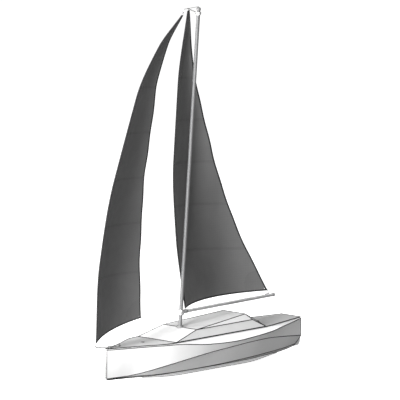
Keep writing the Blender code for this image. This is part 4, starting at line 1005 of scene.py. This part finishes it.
def stitch_rows(sail):
    rows = []
    for middle in SEAM_SHARES:
        for offset in (-SEAM_WIDTH / 2 + ROW_INSET, SEAM_WIDTH / 2 - ROW_INSET):
            rows.append([(seam_share(sail, middle, along, offset), along) for along in SEAM_ROW])
    inset = TAPE_WIDTH - ROW_INSET / 2
    rows.append([(share, 1 - inset / sail.chord(share)) for share in LEECH_ROW])
    rows.append([(inset / sail.height, along) for along in FOOT_ROW])
    rows.append([(share, (HEM_WIDTH - ROW_INSET / 2) / sail.chord(share)) for share in LUFF_ROW])
    for radius in PATCH_RADII:
        for at_clew in (False, True):
            rows.append([row[-1] for row in fan(sail, radius - ROW_INSET, at_clew)])
    return rows


for sail in SAILS:
    path = path_mesh("rows", sail, stitch_rows(sail))
    grown(
        sail.name + "_stitching", path, stitch_tree, STITCH, thread_finish, sail.body)

# %% [markdown]
# Each corner has a pressed eyelet for the fitting that holds it. The eyelet is a small ring with a
# rolled rim, and one tree puts a ring on every point, square to the cloth.

# %% Eyelets
eyelet_tree, given = new_tree("eyelets", ("Ring Radius", "Rim Radius"))
rim = step_node(eyelet_tree, "GeometryNodeCurvePrimitiveCircle", [("Radius", given.outputs["Ring Radius"])])
rim.inputs["Resolution"].default_value = 20
roll = step_node(eyelet_tree, "GeometryNodeCurvePrimitiveCircle", [("Radius", given.outputs["Rim Radius"])])
roll.inputs["Resolution"].default_value = 8
washer = step_node(
    eyelet_tree, "GeometryNodeCurveToMesh",
    [("Curve", rim.outputs["Curve"]), ("Profile Curve", roll.outputs["Curve"])])
lay = step_node(eyelet_tree, "GeometryNodeInputNamedAttribute", data_type="FLOAT_VECTOR")
lay.inputs["Name"].default_value = "lay"
square = step_node(
    eyelet_tree, "FunctionNodeAxesToRotation", [("Primary Axis", lay.outputs["Attribute"])],
    primary_axis="Z", secondary_axis="X")
pressed = step_node(
    eyelet_tree, "GeometryNodeInstanceOnPoints",
    [("Points", given.outputs["Geometry"]), ("Instance", washer.outputs[0]),
     ("Rotation", square.outputs[0])])
finish_tree(eyelet_tree, given, pressed.outputs["Instances"])

EYELET = {"Ring Radius": 0.0017, "Rim Radius": 0.00065}
EYELET_INSET = 0.0055
HEAD_INSETS = 5  # the head's eyelet is so many insets down, where the sail is wide enough


def corner_places(sail):
    up = EYELET_INSET / sail.height
    in_from_edge = EYELET_INSET / sail.chord(0)
    head = 1 - HEAD_INSETS * up
    return [[(up, in_from_edge)], [(up, 1 - in_from_edge)], [(head, 0.5)]]


for sail in SAILS:
    path = path_mesh("corners", sail, corner_places(sail))
    grown(
        sail.name + "_eyelets", path, eyelet_tree, EYELET, eyelet_finish, sail.body)

# %% [markdown]
# Before it was bent to the rig each sail was a flat piece, as wide as its foot is long round the
# belly and as tall as its luff. The rods hold it stretched. Here its cloth takes the place of the
# frame's sail, which is hidden, and its tapes, seams and stitches ride on the same body.

# %% The cloth takes the place of the frame's sails
for sail in SAILS:
    obj, area = cloths[sail.name]
    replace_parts(obj, sail.node)

# %% [markdown]
# ## Lined edges
# The panels of this boat meet at hard corners, and every corner is lined with a fine black bead that
# seals the joint. The corners are already in the solids. On the hull they are the lines that run
# from station to station and the outlines of the stem and the transom. On the deck, the coachroof
# and the keel they are the rims and edges where two outward faces turn away from each other. A tree
# sweeps a small round profile along them.

# %% The bead tree
bead_tree, given = new_tree("beads", ("Radius",))
run = step_node(bead_tree, "GeometryNodeMeshToCurve", [("Mesh", given.outputs["Geometry"])])
profile = step_node(bead_tree, "GeometryNodeCurvePrimitiveCircle", [("Radius", given.outputs["Radius"])])
profile.inputs["Resolution"].default_value = 8
swept = step_node(
    bead_tree, "GeometryNodeCurveToMesh",
    [("Curve", run.outputs[0]), ("Profile Curve", profile.outputs["Curve"])])
swept.inputs["Fill Caps"].default_value = True
finish_tree(bead_tree, given, swept.outputs[0])
print("bead tree nodes:", len(bead_tree.nodes))

# %% Choose the corners
CORNER_TURN = math.radians(0.3)
SHEER_UP = 0.090  # above this the deck's own rim is lined, not the hull
RIM_UP = 0.0925  # only the upper rim of the deck lies above this
SHORTEST = 0.004  # shorter edges belong to holes and fittings
SMALL_FACE = 0.000005  # square metres: the rims of holes have smaller faces
END_REACH = 0.0015  # an edge that spans less than this fore and aft stands upright or lies across
ALONG_SHARE = 0.92  # of an edge's length that runs fore and aft
UPRIGHT_SHARE = 0.8  # of an edge's length that runs up and down
ALIGNED = 0.9  # a face whose normal has this share along an axis looks along that axis
WELD_DISTANCE = 0.00002
hull_ends = [corner.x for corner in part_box("hull_shell")]
print("transom and stem at", [round(end, 4) for end in hull_ends])


def span(edge):
    return edge.verts[1].co - edge.verts[0].co


def outward(face, inside):
    return face.normal.dot(face.calc_center_median() - inside) > 0


def station_lines(bm, inside):
    """Edges from station to station along one line of the hull, found by counting down from the deck."""
    stations = {}
    for vert in bm.verts:
        skin = [face for face in vert.link_faces if outward(face, inside) and face.calc_area() > SMALL_FACE]
        if any(abs(face.normal.x) < ALIGNED and face.normal.z < ALIGNED for face in skin):
            stations.setdefault((round(vert.co.x, 4), vert.co.y > 0), []).append(vert)
    place = {}  # of a vertex: how many stand above it at its station, and its side
    for (_, port), row in stations.items():
        for count, vert in enumerate(sorted(row, key=lambda vert: -vert.co.z)):
            place[vert] = (count, port)
    return [edge for edge in bm.edges if abs(span(edge).x) > END_REACH
            and all(vert in place for vert in edge.verts) and place[edge.verts[0]] == place[edge.verts[1]]]


def end_outlines(bm):
    """The edges round the stem and round the transom."""
    return [edge for edge in bm.edges if abs(span(edge).x) < END_REACH
            and any(abs(edge.verts[0].co.x - end) < END_REACH for end in hull_ends)
            and len(edge.link_faces) == 2 and edge.calc_face_angle(0) > CORNER_TURN]


def hull_lines(bm, inside):
    lines = station_lines(bm, inside) + end_outlines(bm)
    return [edge for edge in lines if edge.verts[0].co.z + edge.verts[1].co.z < 2 * SHEER_UP]


def keel_lines(bm, inside):
    return [edge for edge in bm.edges if abs(span(edge).x) > ALONG_SHARE * span(edge).length]


def deck_rim(bm, inside):
    return [edge for edge in bm.edges if min(vert.co.z for vert in edge.verts) > RIM_UP]


def roof_lines(bm, inside):
    """The joint between the coachroof's two pieces is not lined down its sides, so no upright edges."""
    return [edge for edge in bm.edges if abs(span(edge).z) < UPRIGHT_SHARE * span(edge).length]


# %% [markdown]
# The frame's meshes are loose triangles, which have no common edges. So the corners are looked for in
# a copy whose doubled points are welded, and the edges found there become the path of the bead. Only
# edges between two outward faces count, because a shell has the same corners inside.

# %% Gather the corners
def welded(mesh):
    """A copy of a piece's mesh with its loose triangles joined."""
    bm = bmesh.new()
    bm.from_mesh(mesh)
    bmesh.ops.remove_doubles(bm, verts=bm.verts, dist=WELD_DISTANCE)
    return bm


def corner_mesh(node, inside, choose, least_turn):
    """The chosen outer corners of a solid as a mesh of edges.  `inside` is a point within its shell."""
    bm = welded(nodes[node].data)
    points, edges = [], []
    for edge in choose(bm, inside):
        if len(edge.link_faces) != 2 or edge.calc_length() < SHORTEST:
            continue
        if all(outward(face, inside) for face in edge.link_faces) and edge.calc_face_angle(0) >= least_turn:
            edges.append((len(points), len(points) + 1))
            points += [vert.co.copy() for vert in edge.verts]
    bm.free()
    loose = bpy.data.meshes.new("loose_corners")
    loose.from_pydata(points, edges, [])
    bm = welded(loose)
    mesh = bpy.data.meshes.new(node + "_corners")
    bm.to_mesh(mesh)
    bm.free()
    print(node, "corner edges", len(mesh.edges))
    return mesh


print("an edge shorter than", SHORTEST * 1000, "mm is not lined")

# %% Line the corners
BEAD_RADIUS = 0.0010
KEEL_BEAD_RADIUS = 0.0005  # finer, so that the keel's flat still stands on the ground
MIDDLE_HULL = Vector((0.05, 0, 0.07))

beads = (
    # node, body, a point inside, which edges, least turn, radius
    ("hull_shell", "hull", MIDDLE_HULL, hull_lines, 0.0, BEAD_RADIUS),
    ("deck", "hull", MIDDLE_HULL, deck_rim, CORNER_TURN, BEAD_RADIUS),
    ("cabin_front", "hull", Vector((0.145, 0, 0.100)), roof_lines, CORNER_TURN, BEAD_RADIUS),
    ("cabin_hatch", "cabin_lid", Vector((-0.01, 0, 0.100)), roof_lines, CORNER_TURN, BEAD_RADIUS),
    ("ballast_keel", "hull", Vector((0.0, 0, 0.006)), keel_lines, CORNER_TURN, KEEL_BEAD_RADIUS),
)
for node, body, inside, choose, least_turn, radius in beads:
    corners = corner_mesh(node, inside, choose, least_turn)
    grown(node + "_bead", corners, bead_tree, {"Radius": radius}, lining_finish, body)

# %% [markdown]
# ## A fair hull
# The frame's hull is flat between its stations. A moulded hull is fair along its length and hard
# only at its chines, so the visible hull is a welded copy whose faces shade smoothly into each other,
# except across the lines that run fore and aft and round the openings.

# %% Fair the hull
HARD_TURN = math.radians(20)

fair = welded(nodes["hull_shell"].data)
for face in fair.faces:
    face.smooth = True
for edge in fair.edges:
    edge.smooth = edge.calc_face_angle(0) < HARD_TURN
for edge in station_lines(fair, MIDDLE_HULL):
    edge.smooth = False
print("hard edges in the hull:", sum(not edge.smooth for edge in fair.edges))
fair_mesh = bpy.data.meshes.new("fair_hull")
fair.to_mesh(fair_mesh)
fair.free()
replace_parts(new_object("fair_hull", fair_mesh, finishes["hull_white"], "hull"), "hull_shell")
